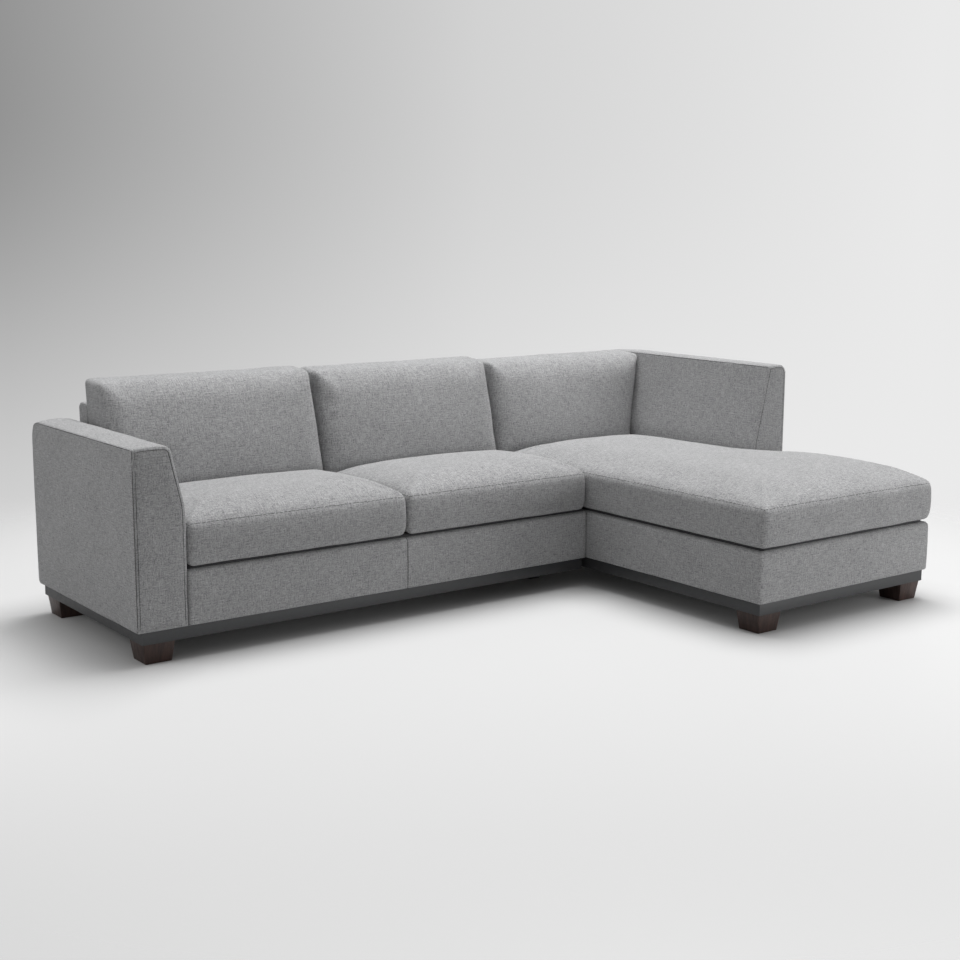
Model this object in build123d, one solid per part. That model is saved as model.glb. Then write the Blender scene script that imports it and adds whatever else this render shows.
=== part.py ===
from build123d import *
import math
import os

os.makedirs("parts", exist_ok=True)

# Main sizes in millimetres, measured on the upholstery.
ARM_WIDTH = 167.0
LEFT_SEAT_WIDTH = 840.0
RIGHT_SEAT_WIDTH = 824.0
CHAISE_WIDTH = 899.0
SOFA_DEPTH = 835.0
CHAISE_REACH = 890.0
RETURN_REACH = 165.0
ARM_HEIGHT = 690.0
RETURN_HEIGHT = 812.0
BACK_HEIGHT = 745.0
BACK_CUSHION_TOP = 834.0

# Arm and return profile: upright up to the knee, then leaning outwards.
KNEE_HEIGHT = 497.0
KNEE_RADIUS = 240.0
SIDE_LEAN = math.tan(math.radians(13.3))
ARM_ROLL = 25.0
ARM_CROWN = 6.0
REAR_ROLL = 45.0
RETURN_OUTER_ROLL = 24.0

# Back frame: thickness at its top and the slope of its front face.
BACK_TOP_THICKNESS = 70.0
BACK_LEAN = 0.067
BACK_ROLL = 24.0

# Floor to frame.
FOOT_HEIGHT = 68.0
FOOT_TOP = 108.0
FOOT_BOTTOM = 90.0
FOOT_INSET = 17.0
PLINTH_HEIGHT = 42.0
PLINTH_INSET = 11.0
PLINTH_THICKNESS = 22.0
BLOCK_SIZE = 98.0
LEG_TOP = 56.0
LEG_BOTTOM = 44.0
LEG_SETBACK = 230.0
BOLT_RADIUS = 4.0
NUT_RADIUS = 11.0
NUT_THICKNESS = 2.0
BOLT_DEPTH = 40.0
DUST_COVER = 1.5

# Seat boxes.
RAIL_THICKNESS = 26.0
RAIL_HEIGHT = 170.0
STRETCHER_DROP = 40.0
BOARD_THICKNESS = 24.0
PAD = 20.0
EDGE = 7.0
BORDER_ROLL = 12.0
BORDER_DROP = 1.5

# Springs: square wire lying flat, held at each end by a folded clip.
WIRE = 4.0
CLIP_SHEET = 1.5
CLIP_LIP = 9.0
CLIP_WIDTH = 24.0
SPRING_HALF_WIDTH = 26.0
SPRING_BEND = 9.0
SPRING_PITCH = 64.0
SPRINGS_PER_SEAT = 4
CHAISE_FRONT_SPRINGS = 3
CHAISE_REAR_SPRINGS = 4
DECK_PAD = 12.5

# Webbing on the backs.
WEB_THICKNESS = 2.0
BACK_RAIL_HEIGHT = 60.0
WEB_WIDTH = 70.0
WEB_ROWS = 3

# Cushions.
SEAT_BOXING = 138.0
SEAT_CROWN = 54.0
CHAISE_CROWN = 62.0
BACK_ZONE = 300.0
SEAT_CORNER = 22.0
SEAT_BOTTOM_ROLL = 22.0
CUSHION_LEAN = 0.2466
BACK_BULGE = 22.0
BACK_CUSHION_ROLL = 38.0
BACK_CUSHION_CORNER = 28.0
WRAP = 24.0

# Clearances.
SECTION_GAP = 2.0
CUSHION_GAP = 3.0
REST_GAP = 0.3
FIT_GAP = 0.5
BOLT_GAP = 0.1
TRIM = 0.4

# Connector between the sections.
CHANNEL_WIDTH = 56.0
CHANNEL_HEIGHT = 66.0
CHANNEL_DEPTH = 11.0
CHANNEL_SHEET = 2.5
CHANNEL_SLOT = 20.0
CONNECTOR_BOTTOM = 150.0
CONNECTOR_AT = (0.22, 0.72)
TONGUE_PLATE = 72.0

# Positions worked out from the sizes above.
OVERALL_WIDTH = ARM_WIDTH + LEFT_SEAT_WIDTH + RIGHT_SEAT_WIDTH + CHAISE_WIDTH
OVERALL_DEPTH = SOFA_DEPTH + CHAISE_REACH
LEFT = -OVERALL_WIDTH / 2
RIGHT = OVERALL_WIDTH / 2
FRONT = -OVERALL_DEPTH / 2
BACK = OVERALL_DEPTH / 2
SOFA_FRONT = BACK - SOFA_DEPTH
SEAT_REAR = BACK - BACK_ZONE
RETURN_FRONT = SOFA_FRONT - RETURN_REACH
JOIN = RIGHT - CHAISE_WIDTH
SOFA_END = JOIN - SECTION_GAP
ARM_INNER = LEFT + ARM_WIDTH
RETURN_INNER = RIGHT - ARM_WIDTH
SEAT_SPLIT = ARM_INNER + LEFT_SEAT_WIDTH

FRAME_BOTTOM = FOOT_HEIGHT + PLINTH_HEIGHT
RAIL_TOP = FRAME_BOTTOM + RAIL_HEIGHT
DECK_BOTTOM = RAIL_TOP + WIRE + 2 * CLIP_SHEET
DECK_TOP = DECK_BOTTOM + DECK_PAD
CUSHION_BOTTOM = DECK_TOP + REST_GAP
SEAM_HEIGHT = CUSHION_BOTTOM + SEAT_BOXING


def slant_width(z):
    """Width of the arm or return at height z, above the knee."""
    return ARM_WIDTH - (z - KNEE_HEIGHT) * SIDE_LEAN


def back_face(z):
    """Front face of the padded back at height z."""
    return BACK - BACK_TOP_THICKNESS - (BACK_HEIGHT - z) * BACK_LEAN


def cushion_face(z):
    """Front plane of the back cushions at height z: upright behind the seats, leaning above."""
    return SEAT_REAR + max(0.0, z - SEAM_HEIGHT) * CUSHION_LEAN


POST_FRONT = back_face(DECK_BOTTOM) + PAD + WEB_THICKNESS
DECK_REAR = back_face(DECK_BOTTOM) - FIT_GAP
PARTS = {}


def block(x0, x1, y0, y1, z0, z1):
    """Straight-sided block between two corners."""
    centre = Pos((x0 + x1) / 2, (y0 + y1) / 2, (z0 + z1) / 2)
    return centre * Box(x1 - x0, y1 - y0, z1 - z0)


def group(solids):
    """Several separate solids under one name."""
    return Compound(children=list(solids))


def outline(points, radii=None, bulges=None):
    """Closed outline with rounded corners; bulges gives the rise of an arched side by its number."""
    count = len(points)
    radii = radii or [0.0] * count
    bulges = bulges or {}
    starts = []
    ends = []
    arcs = []
    for i in range(count):
        corner = Vector(*points[i])
        back = (Vector(*points[i - 1]) - corner).normalized()
        ahead = (Vector(*points[(i + 1) % count]) - corner).normalized()
        if radii[i] <= 0:
            starts.append(corner)
            ends.append(corner)
            arcs.append(None)
            continue
        half = math.acos(max(-1.0, min(1.0, back.dot(ahead)))) / 2
        reach = radii[i] / math.tan(half)
        inward = (back + ahead).normalized()
        middle = corner + inward * (radii[i] / math.sin(half) - radii[i])
        starts.append(corner + back * reach)
        ends.append(corner + ahead * reach)
        arcs.append(middle)
    edges = []
    for i in range(count):
        if arcs[i] is not None:
            edges.append(ThreePointArc(starts[i], arcs[i], ends[i]))
        head = ends[i]
        tail = starts[(i + 1) % count]
        rise = bulges.get(i, 0.0)
        if rise:
            run = tail - head
            outward = Vector(run.Y, -run.X).normalized()
            edges.append(ThreePointArc(head, (head + tail) * 0.5 + outward * rise, tail))
        elif (tail - head).length > 1e-6:
            edges.append(Line(head, tail))
    return make_face(Curve() + edges)


def along_x(points, x0, x1, radii=None, bulges=None):
    """Prism along X from an outline in (y, z)."""
    return extrude(Plane.YZ.offset(x0) * outline(points, radii, bulges), amount=x1 - x0)


def along_y(points, y0, y1, radii=None, bulges=None):
    """Prism along Y from an outline in (x, z)."""
    plane = Plane((0, y1, 0), x_dir=(1, 0, 0), z_dir=(0, -1, 0))
    return extrude(plane * outline(points, radii, bulges), amount=y1 - y0)


def along_z(points, z0, z1, radii=None, bulges=None):
    """Prism along Z from an outline in (x, y)."""
    return extrude(Plane.XY.offset(z0) * outline(points, radii, bulges), amount=z1 - z0)


def plinth_ring(x0, x1, y0, y1):
    """Four mitred plinth boards, set in from the upholstery all round."""
    a = PLINTH_INSET
    b = PLINTH_INSET + PLINTH_THICKNESS
    outer = [(x0 + a, y0 + a), (x1 - a, y0 + a), (x1 - a, y1 - a), (x0 + a, y1 - a)]
    inner = [(x0 + b, y0 + b), (x1 - b, y0 + b), (x1 - b, y1 - b), (x0 + b, y1 - b)]
    boards = []
    for i in range(4):
        j = (i + 1) % 4
        corners = [outer[i], outer[j], inner[j], inner[i]]
        boards.append(along_z(corners, FOOT_HEIGHT, FRAME_BOTTOM))
    return boards


def bar(x, y, z0, z1, radius, flats=12):
    """Upright round bar with a few flats, between two heights."""
    return extrude(Pos(x, y, z0) * RegularPolygon(radius, flats), amount=z1 - z0)


def foot_bolt(x, y):
    """Bolt from the foot up through the corner block, with its nut plate on top."""
    top = FRAME_BOTTOM - DUST_COVER
    shank = bar(x, y, FOOT_HEIGHT - BOLT_DEPTH, top, BOLT_RADIUS)
    return shank + bar(x, y, top - NUT_THICKNESS, top, NUT_RADIUS)


def bolt_room(x, y):
    """Space that a foot bolt needs in the foot and the block."""
    seat = FRAME_BOTTOM - DUST_COVER - NUT_THICKNESS
    hole = bar(x, y, FOOT_HEIGHT - BOLT_DEPTH - BOLT_GAP, seat, BOLT_RADIUS + BOLT_GAP)
    return hole + bar(x, y, seat, FRAME_BOTTOM, NUT_RADIUS + BOLT_GAP)


def tapered_foot(x, y, top, bottom):
    """Square foot that narrows to the floor, bored for its bolt."""
    low = Pos(x, y, 0) * Rectangle(bottom, bottom)
    high = Pos(x, y, FOOT_HEIGHT) * Rectangle(top, top)
    return loft([low, high], ruled=True) - bolt_room(x, y)


def corner_block(x0, x1, y0, y1, x, y):
    """Block inside the plinth that takes the foot bolt at (x, y)."""
    return block(x0, x1, y0, y1, FOOT_HEIGHT, FRAME_BOTTOM) - bolt_room(x, y)


def dust_sheet(x0, x1, y0, y1, blocks):
    """Thin cloth under the rails, cut away round the corner blocks."""
    inset = PLINTH_INSET + PLINTH_THICKNESS
    z0 = FRAME_BOTTOM - DUST_COVER
    sheet = block(x0 + inset, x1 - inset, y0 + inset, y1 - inset, z0, FRAME_BOTTOM)
    for bx0, bx1, by0, by1 in blocks:
        g = FIT_GAP
        sheet -= block(bx0 - g, bx1 + g, by0 - g, by1 + g, z0 - 1, FRAME_BOTTOM + 1)
    return sheet


def zigzag_spring(length):
    """Flat zigzag wire along X, centred on the origin, with cut-off bends."""
    runs = max(4, round(length / SPRING_PITCH))
    pitch = length / runs
    a = SPRING_HALF_WIDTH
    c = SPRING_BEND
    path = []
    for k in range(runs + 1):
        x = k * pitch - length / 2
        side = 1 if k % 2 == 0 else -1
        path.append((x, -side * (a - c)))
        path.append((x, side * (a - c)))
        if k < runs:
            path.append((x + c, side * a))
            path.append((x + pitch - c, side * a))
    left = []
    right = []
    for i, point in enumerate(path):
        p = Vector(*point)
        before = (p - Vector(*path[i - 1])).normalized() if i else None
        after = (Vector(*path[i + 1]) - p).normalized() if i + 1 < len(path) else None
        before = before or after
        after = after or before
        n0 = Vector(-before.Y, before.X)
        n1 = Vector(-after.Y, after.X)
        mitre = (n0 + n1).normalized()
        reach = WIRE / 2 / mitre.dot(n0)
        left.append(p + mitre * reach)
        right.append(p - mitre * reach)
    points = [(v.X, v.Y) for v in left + right[::-1]]
    return along_z(points, RAIL_TOP + CLIP_SHEET, RAIL_TOP + CLIP_SHEET + WIRE)


def spring_clip(length, end):
    """Folded clip over the last run of a spring at the end +1 or -1 along X."""
    z0 = RAIL_TOP
    z1 = z0 + CLIP_SHEET
    z2 = z1 + WIRE
    z3 = z2 + CLIP_SHEET
    back = length / 2 + WIRE / 2
    lip = length / 2 - CLIP_LIP
    points = [(lip, z0), (back + CLIP_SHEET, z0), (back + CLIP_SHEET, z3), (lip, z3)]
    points += [(lip, z2), (back, z2), (back, z1), (lip, z1)]
    clip = along_y(points, -CLIP_WIDTH / 2, CLIP_WIDTH / 2)
    return clip if end > 0 else Rot(0, 0, 180) * clip


def spread(low, high, count):
    """Centres of count equal shares of a span."""
    share = (high - low) / count
    return [low + share * (i + 0.5) for i in range(count)]


def side_form(height, outer_roll, y0, y1):
    """Outer form of the arm: its outer face on x = 0, leaning inner face towards +X."""
    top = slant_width(height)
    face = [(0, FRAME_BOTTOM), (ARM_WIDTH, FRAME_BOTTOM), (ARM_WIDTH, KNEE_HEIGHT)]
    face += [(top, height), (0, height)]
    front = along_y(face, y0, y1, [EDGE, 0, KNEE_RADIUS, ARM_ROLL, outer_roll], {3: ARM_CROWN})
    top_limit = height + ARM_CROWN
    side = [(y0, FRAME_BOTTOM), (y1, FRAME_BOTTOM), (y1, top_limit), (y0, top_limit)]
    end = along_x(side, 0, ARM_WIDTH, [0, EDGE, REAR_ROLL, EDGE])
    plan = [(0, y0), (ARM_WIDTH, y0), (ARM_WIDTH, y1), (0, y1)]
    return front & end & along_z(plan, FRAME_BOTTOM, top_limit, [EDGE, 0, 0, 2 * EDGE])


def side_section(z0, z1):
    """Outline inside the padding of the arm between two heights."""
    inset = PAD / math.cos(math.atan(SIDE_LEAN))
    knee = KNEE_HEIGHT - PAD * math.tan(math.atan(SIDE_LEAN) / 2)
    points = [(PAD, z0), (ARM_WIDTH - PAD, z0)] if z0 < knee else [(PAD, z0)]
    if z0 < knee:
        points.append((ARM_WIDTH - PAD, knee))
    else:
        points.append((slant_width(z0) - inset, z0))
    return points + [(slant_width(z1) - inset, z1), (PAD, z1)]


def side_upholstery(height, outer_roll, y0, y1, front_to_floor):
    """Padded cover of the arm, hollow and open below, cut back where the seat box passes."""
    cavity = along_y(side_section(FRAME_BOTTOM - 1, height - PAD), y0 + PAD, y1 - PAD)
    cut_from = y0 + PAD if front_to_floor else y0 - 1
    passage = block(PAD, ARM_WIDTH + 1, cut_from, y1 - PAD, FRAME_BOTTOM - 1, DECK_BOTTOM)
    return side_form(height, outer_roll, y0, y1) - cavity - passage


def side_frame(height, y0, y1):
    """End panels and rails inside the arm or the return."""
    top = height - PAD
    panel = side_section(RAIL_TOP, top - RAIL_THICKNESS)
    front = along_y(panel, y0 + PAD, y0 + PAD + BOARD_THICKNESS)
    rear = along_y(panel, y1 - PAD - BOARD_THICKNESS, y1 - PAD)
    cap = along_y(side_section(top - RAIL_THICKNESS, top), y0 + PAD, y1 - PAD)
    inner = ARM_WIDTH - PAD
    tack = block(inner - RAIL_THICKNESS, inner, y0 + PAD + BOARD_THICKNESS,
                 y1 - PAD - BOARD_THICKNESS, DECK_TOP, DECK_TOP + 2 * RAIL_THICKNESS)
    return group([front, rear]), group([cap, tack])


def back_upholstery(x0, x1, return_side):
    """Padded cover of a back: leaning front, upright rear that runs down to the plinth."""
    skirt = BACK - PAD
    lean = (BACK_HEIGHT - KNEE_HEIGHT) * SIDE_LEAN if return_side else 0.0
    points = [(BACK, FRAME_BOTTOM), (BACK, BACK_HEIGHT), (BACK - BACK_TOP_THICKNESS, BACK_HEIGHT)]
    points += [(back_face(DECK_BOTTOM), DECK_BOTTOM), (skirt, DECK_BOTTOM), (skirt, FRAME_BOTTOM)]
    form = along_x(points, x0, x1 + lean, [EDGE, BACK_ROLL, BACK_ROLL, 0, 0, 0])
    if return_side:
        face = [(x0, FRAME_BOTTOM), (x1, FRAME_BOTTOM), (x1, KNEE_HEIGHT)]
        face += [(x1 + lean, BACK_HEIGHT), (x0, BACK_HEIGHT)]
        form &= along_y(face, FRONT, BACK, [0, 0, KNEE_RADIUS, 0, 0])
    else:
        face = [(x0, FRAME_BOTTOM), (x1, FRAME_BOTTOM), (x1, BACK_HEIGHT), (x0, BACK_HEIGHT)]
        form &= along_y(face, FRONT, BACK, [0, 0, 0, 2 * EDGE])
    top = BACK_HEIGHT - PAD
    low = DECK_BOTTOM - 1
    inside = [(skirt, low), (skirt, top), (back_face(top) + PAD, top), (back_face(low) + PAD, low)]
    return form - along_x(inside, x0 + PAD, x1 - PAD)


def back_frame(x0, x1, posts):
    """Posts, rails and webbing inside a back."""
    rear = BACK - PAD
    top = BACK_HEIGHT - PAD
    seat = top - 2 * RAIL_THICKNESS

    def face(z):
        return back_face(z) + PAD + WEB_THICKNESS

    post = [(rear, FRAME_BOTTOM), (rear, seat), (face(seat), seat), (POST_FRONT, DECK_BOTTOM)]
    post.append((POST_FRONT, FRAME_BOTTOM))
    half = BOARD_THICKNESS / 2
    uprights = [along_x(post, x - half, x + half) for x in posts]
    crest = [(rear, seat), (rear, top), (face(top), top), (face(seat), seat)]
    rails = [along_x(crest, x0 + PAD, x1 - PAD)]
    for left, right in zip(posts, posts[1:]):
        low = DECK_TOP + RAIL_THICKNESS
        high = low + BACK_RAIL_HEIGHT
        rails.append(block(left + half, right - half, rear - RAIL_THICKNESS, rear, low, high))
    straps = []
    for z in spread(DECK_TOP + RAIL_THICKNESS, top - RAIL_THICKNESS, WEB_ROWS):
        z0 = z - WEB_WIDTH / 2
        z1 = z + WEB_WIDTH / 2
        strap = [(face(z0), z0), (face(z1), z1)]
        strap += [(face(z1) - WEB_THICKNESS, z1), (face(z0) - WEB_THICKNESS, z0)]
        straps.append(along_x(strap, posts[0] - half, posts[-1] + half))
    return group(uprights), group(rails), group(straps)


def seat_cushion(plan, radii, x0, x1, y0, crown):
    """Outer form of a seat cushion: boxed sides, rolled bottom edge, crowned top."""
    z0 = CUSHION_BOTTOM
    z1 = SEAM_HEIGHT
    roll = SEAT_BOTTOM_ROLL
    rear = SEAT_REAR - CUSHION_GAP
    wide = [(x0 - TRIM, z0), (x1 + TRIM, z0), (x1 + TRIM, z1), (x0 - TRIM, z1)]
    front = along_y(wide, FRONT - crown, BACK, [roll, roll, 0, 0], {2: crown})
    deep = [(y0 - TRIM, z0), (rear, z0), (rear, z1), (y0 - TRIM, z1)]
    side = along_x(deep, x0 - crown, x1 + crown, [roll, EDGE, 0, 0], {2: crown})
    return along_z(plan, z0 - crown, z1 + 2 * crown, radii) & front & side


def seat_core(plan):
    """Foam block that fills the wrap of a seat cushion."""
    return along_z(plan, CUSHION_BOTTOM + WRAP, SEAM_HEIGHT - EDGE)


def back_cushion(x0, x1, return_side):
    """Outer form of a back cushion standing on the deck, and the fill inside its wrap."""
    z0 = CUSHION_BOTTOM
    z1 = BACK_CUSHION_TOP
    zk = SEAM_HEIGHT
    lean = (z1 - KNEE_HEIGHT) * SIDE_LEAN if return_side else 0.0
    rear = [(back_face(z0) - REST_GAP, z0), (back_face(z1) - REST_GAP, z1)]
    points = [(cushion_face(z0), z0)] + rear + [(cushion_face(z1), z1), (cushion_face(zk), zk)]
    roll = BACK_CUSHION_ROLL
    rounds = [EDGE, EDGE, roll, roll, 0]
    side = along_x(points, x0 - roll, x1 + lean + roll, rounds, {2: EDGE, 3: BACK_BULGE})
    face = [(x0, z0), (x1, z0), (x1, KNEE_HEIGHT), (x1 + lean, z1 + EDGE), (x0, z1 + EDGE)]
    corner = BACK_CUSHION_CORNER
    if not return_side:
        face = [face[0], face[1], face[3], face[4]]
    radii = [EDGE, EDGE, KNEE_RADIUS, corner, corner] if return_side else [EDGE, EDGE, corner, corner]
    front = along_y(face, FRONT, BACK + SOFA_DEPTH, radii)
    deep = SOFA_DEPTH / 2
    wide = x1 + lean + TRIM
    plan = [(x0 - TRIM, -TRIM), (wide, -TRIM), (wide, deep), (x0 - TRIM, deep)]
    upright = along_z(plan, -deep, SOFA_DEPTH, [corner, corner, 0, 0], {0: BACK_BULGE})
    tilt = Rot(-math.degrees(math.atan(CUSHION_LEAN)), 0, 0)
    leaning = Pos(0, cushion_face(zk), zk) * tilt * upright
    low = z0 + WRAP
    high = z1 - 2 * WRAP
    fill = [(cushion_face(low) + WRAP, low), (back_face(low) - WRAP, low)]
    fill += [(back_face(high) - WRAP, high), (cushion_face(high) + WRAP, high)]
    fill.append((cushion_face(zk) + WRAP, zk))
    core = along_x(fill, x0 + WRAP, x1 - WRAP)
    return (side & front & leaning) - core, core


def build_sofa_section():
    """Seat box, arm, back and base of the two-seat section."""
    x0, x1, y0, y1 = LEFT, SOFA_END, SOFA_FRONT, BACK
    t = RAIL_THICKNESS
    left = x0 + PAD
    front = y0 + PAD
    z0 = FRAME_BOTTOM
    rear = POST_FRONT
    PARTS["sofa_left_rail"] = block(left, left + t, front, y1 - PAD, z0, RAIL_TOP)
    PARTS["sofa_right_rail"] = block(x1 - t, x1, front, rear, z0, DECK_BOTTOM)
    PARTS["sofa_front_rail"] = block(left + t, x1 - t, front, front + t, z0, RAIL_TOP)
    PARTS["sofa_back_rail"] = block(left + t, x1 - t, rear - t, rear, z0, RAIL_TOP)
    PARTS["sofa_centre_stretcher"] = block(SEAT_SPLIT - t / 2, SEAT_SPLIT + t / 2, front + t,
                                           rear - t, z0 + STRETCHER_DROP, RAIL_TOP)
    PARTS["sofa_plinth"] = group(plinth_ring(x0, x1, y0, y1))
    ring = PLINTH_INSET + PLINTH_THICKNESS
    foot = FOOT_INSET + FOOT_TOP / 2
    size = BLOCK_SIZE
    right = x1 - ring - size / 2
    leg_y = (y0 + LEG_SETBACK, y1 - LEG_SETBACK)
    feet = [(x0 + foot, y0 + foot), (x0 + foot, y1 - foot)]
    legs = [(right, leg_y[0]), (right, leg_y[1])]
    spots = [(x0 + ring, x0 + ring + size, y0 + ring, y0 + ring + size),
             (x0 + ring, x0 + ring + size, y1 - ring - size, y1 - ring)]
    for y in leg_y:
        spots.append((x1 - ring - size, x1 - ring, y - size / 2, y + size / 2))
    PARTS["sofa_corner_blocks"] = group(corner_block(*s, *p) for s, p in zip(spots, feet + legs))
    PARTS["sofa_feet"] = group(tapered_foot(x, y, FOOT_TOP, FOOT_BOTTOM) for x, y in feet)
    PARTS["sofa_support_legs"] = group(tapered_foot(x, y, LEG_TOP, LEG_BOTTOM) for x, y in legs)
    PARTS["sofa_foot_bolts"] = group(foot_bolt(x, y) for x, y in feet + legs)
    PARTS["sofa_dust_cover"] = dust_sheet(x0, x1, y0, y1, spots)
    start = front + t / 2
    length = rear - t / 2 - start
    spring = Rot(0, 0, 90) * zigzag_spring(length)
    clips = [Rot(0, 0, 90) * spring_clip(length, end) for end in (1, -1)]
    spans = [(ARM_INNER, SEAT_SPLIT - t / 2), (SEAT_SPLIT + t / 2, x1 - t)]
    centres = [Pos(x, start + length / 2, 0) for a, b in spans for x in spread(a, b, SPRINGS_PER_SEAT)]
    PARTS["sofa_seat_springs"] = group(place * spring for place in centres)
    PARTS["sofa_spring_clips"] = group(place * clip for place in centres for clip in clips)
    PARTS["sofa_deck_pad"] = block(ARM_INNER + FIT_GAP, x1, front, DECK_REAR, DECK_BOTTOM, DECK_TOP)
    border = [(y0, z0), (front, z0), (front, DECK_TOP - BORDER_DROP), (y0, DECK_TOP - BORDER_DROP)]
    PARTS["sofa_front_border"] = along_x(border, ARM_INNER, x1, [EDGE, 0, 0, BORDER_ROLL])
    inset = PAD + BOARD_THICKNESS / 2
    posts = [ARM_INNER + inset, SEAT_SPLIT, x1 - inset]
    uprights, rails, straps = back_frame(ARM_INNER, x1, posts)
    PARTS["sofa_back_posts"] = uprights
    PARTS["sofa_back_rails"] = rails
    PARTS["sofa_back_webbing"] = straps
    PARTS["sofa_back_cover"] = back_upholstery(ARM_INNER, x1, False)
    panels, rails = side_frame(ARM_HEIGHT, y0, y1)
    at_left = Pos(x0, 0, 0)
    PARTS["arm_end_panels"] = at_left * panels
    PARTS["arm_rails"] = at_left * rails
    PARTS["arm_cover"] = at_left * side_upholstery(ARM_HEIGHT, EDGE, y0, y1, True)


def build_chaise_section():
    """Seat box, return, back and base of the chaise."""
    x0, x1, y0, y1 = JOIN, RIGHT, FRONT, BACK
    t = RAIL_THICKNESS
    left = x0 + PAD
    right = x1 - PAD
    front = y0 + PAD
    z0 = FRAME_BOTTOM
    rear = POST_FRONT
    PARTS["chaise_left_rail"] = block(left, left + t, front, rear, z0, RAIL_TOP)
    PARTS["chaise_right_rail"] = block(right - t, right, front, y1 - PAD, z0, RAIL_TOP)
    PARTS["chaise_front_rail"] = block(left + t, right - t, front, front + t, z0, DECK_BOTTOM)
    PARTS["chaise_back_rail"] = block(left + t, right - t, rear - t, rear, z0, DECK_BOTTOM)
    under_return = RETURN_FRONT + PAD
    middle = (front + t + under_return) / 2
    low = z0 + STRETCHER_DROP
    PARTS["chaise_stretchers"] = group(
        block(left + t, right - t, y, y + t, low, RAIL_TOP) for y in (middle - t / 2, under_return))
    PARTS["chaise_plinth"] = group(plinth_ring(x0, x1, y0, y1))
    ring = PLINTH_INSET + PLINTH_THICKNESS
    foot = FOOT_INSET + FOOT_TOP / 2
    size = BLOCK_SIZE
    feet = [(x, y) for y in (y0 + foot, y1 - foot) for x in (x0 + foot, x1 - foot)]
    spots = []
    for by in ((y0 + ring, y0 + ring + size), (y1 - ring - size, y1 - ring)):
        for bx in ((x0 + ring, x0 + ring + size), (x1 - ring - size, x1 - ring)):
            spots.append((*bx, *by))
    PARTS["chaise_corner_blocks"] = group(corner_block(*s, *p) for s, p in zip(spots, feet))
    PARTS["chaise_feet"] = group(tapered_foot(x, y, FOOT_TOP, FOOT_BOTTOM) for x, y in feet)
    PARTS["chaise_foot_bolts"] = group(foot_bolt(x, y) for x, y in feet)
    PARTS["chaise_dust_cover"] = dust_sheet(x0, x1, y0, y1, spots)
    start = left + t / 2
    length = right - t / 2 - start
    spring = zigzag_spring(length)
    clips = [spring_clip(length, end) for end in (1, -1)]
    rows = spread(front + t, under_return, CHAISE_FRONT_SPRINGS)
    rows += spread(under_return + t, rear - t, CHAISE_REAR_SPRINGS)
    centres = [Pos(start + length / 2, y, 0) for y in rows]
    PARTS["chaise_seat_springs"] = group(place * spring for place in centres)
    PARTS["chaise_spring_clips"] = group(place * clip for place in centres for clip in clips)
    notch_x = RETURN_INNER - FIT_GAP
    notch_y = RETURN_FRONT - FIT_GAP
    deck = [(left, front), (right, front), (right, notch_y), (notch_x, notch_y)]
    deck += [(notch_x, DECK_REAR), (left, DECK_REAR)]
    PARTS["chaise_deck_pad"] = along_z(deck, DECK_BOTTOM, DECK_TOP)
    top = DECK_TOP - BORDER_DROP
    roll = BORDER_ROLL
    face = along_x([(y0, z0), (front, z0), (front, top), (y0, top)], x0, x1, [EDGE, 0, 0, roll])
    plan = along_z([(x0, y0), (x1, y0), (x1, front), (x0, front)], z0, top, [roll, roll, 0, 0])
    ends = along_y([(x0, z0), (x1, z0), (x1, top), (x0, top)], y0, front, [EDGE, EDGE, roll, roll])
    PARTS["chaise_front_border"] = face & plan & ends
    outer = [(x0, z0), (left, z0), (left, top), (x0, top)]
    left_border = along_y(outer, front, DECK_REAR, [EDGE, 0, 0, roll])
    notch_top = CONNECTOR_BOTTOM + CHANNEL_HEIGHT + PAD
    for y in connector_places():
        half = CHANNEL_WIDTH / 2 + TONGUE_PLATE / 4
        left_border -= block(x0 - 1, left + 1, y - half, y + half, z0 - 1, notch_top)
    PARTS["chaise_left_border"] = left_border
    outer = [(right, z0), (x1, z0), (x1, top), (right, top)]
    PARTS["chaise_right_border"] = along_y(outer, front, RETURN_FRONT, [0, EDGE, roll, 0])
    inset = PAD + BOARD_THICKNESS / 2
    x_end = RETURN_INNER - FIT_GAP
    uprights, rails, straps = back_frame(x0, x_end, [x0 + inset, x_end - inset])
    PARTS["chaise_back_posts"] = uprights
    PARTS["chaise_back_rails"] = rails
    PARTS["chaise_back_webbing"] = straps
    PARTS["chaise_back_cover"] = back_upholstery(x0, x_end, True)
    panels, rails = side_frame(RETURN_HEIGHT, RETURN_FRONT, y1)
    cover = side_upholstery(RETURN_HEIGHT, RETURN_OUTER_ROLL, RETURN_FRONT, y1, False)
    at_right = Pos(x1, 0, 0)
    PARTS["return_end_panels"] = at_right * mirror(panels, Plane.YZ)
    PARTS["return_rails"] = at_right * mirror(rails, Plane.YZ)
    PARTS["return_cover"] = at_right * mirror(cover, Plane.YZ)


def connector_places():
    """Where along the joined sides the connectors sit."""
    return [SOFA_FRONT + SOFA_DEPTH * share for share in CONNECTOR_AT]


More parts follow.
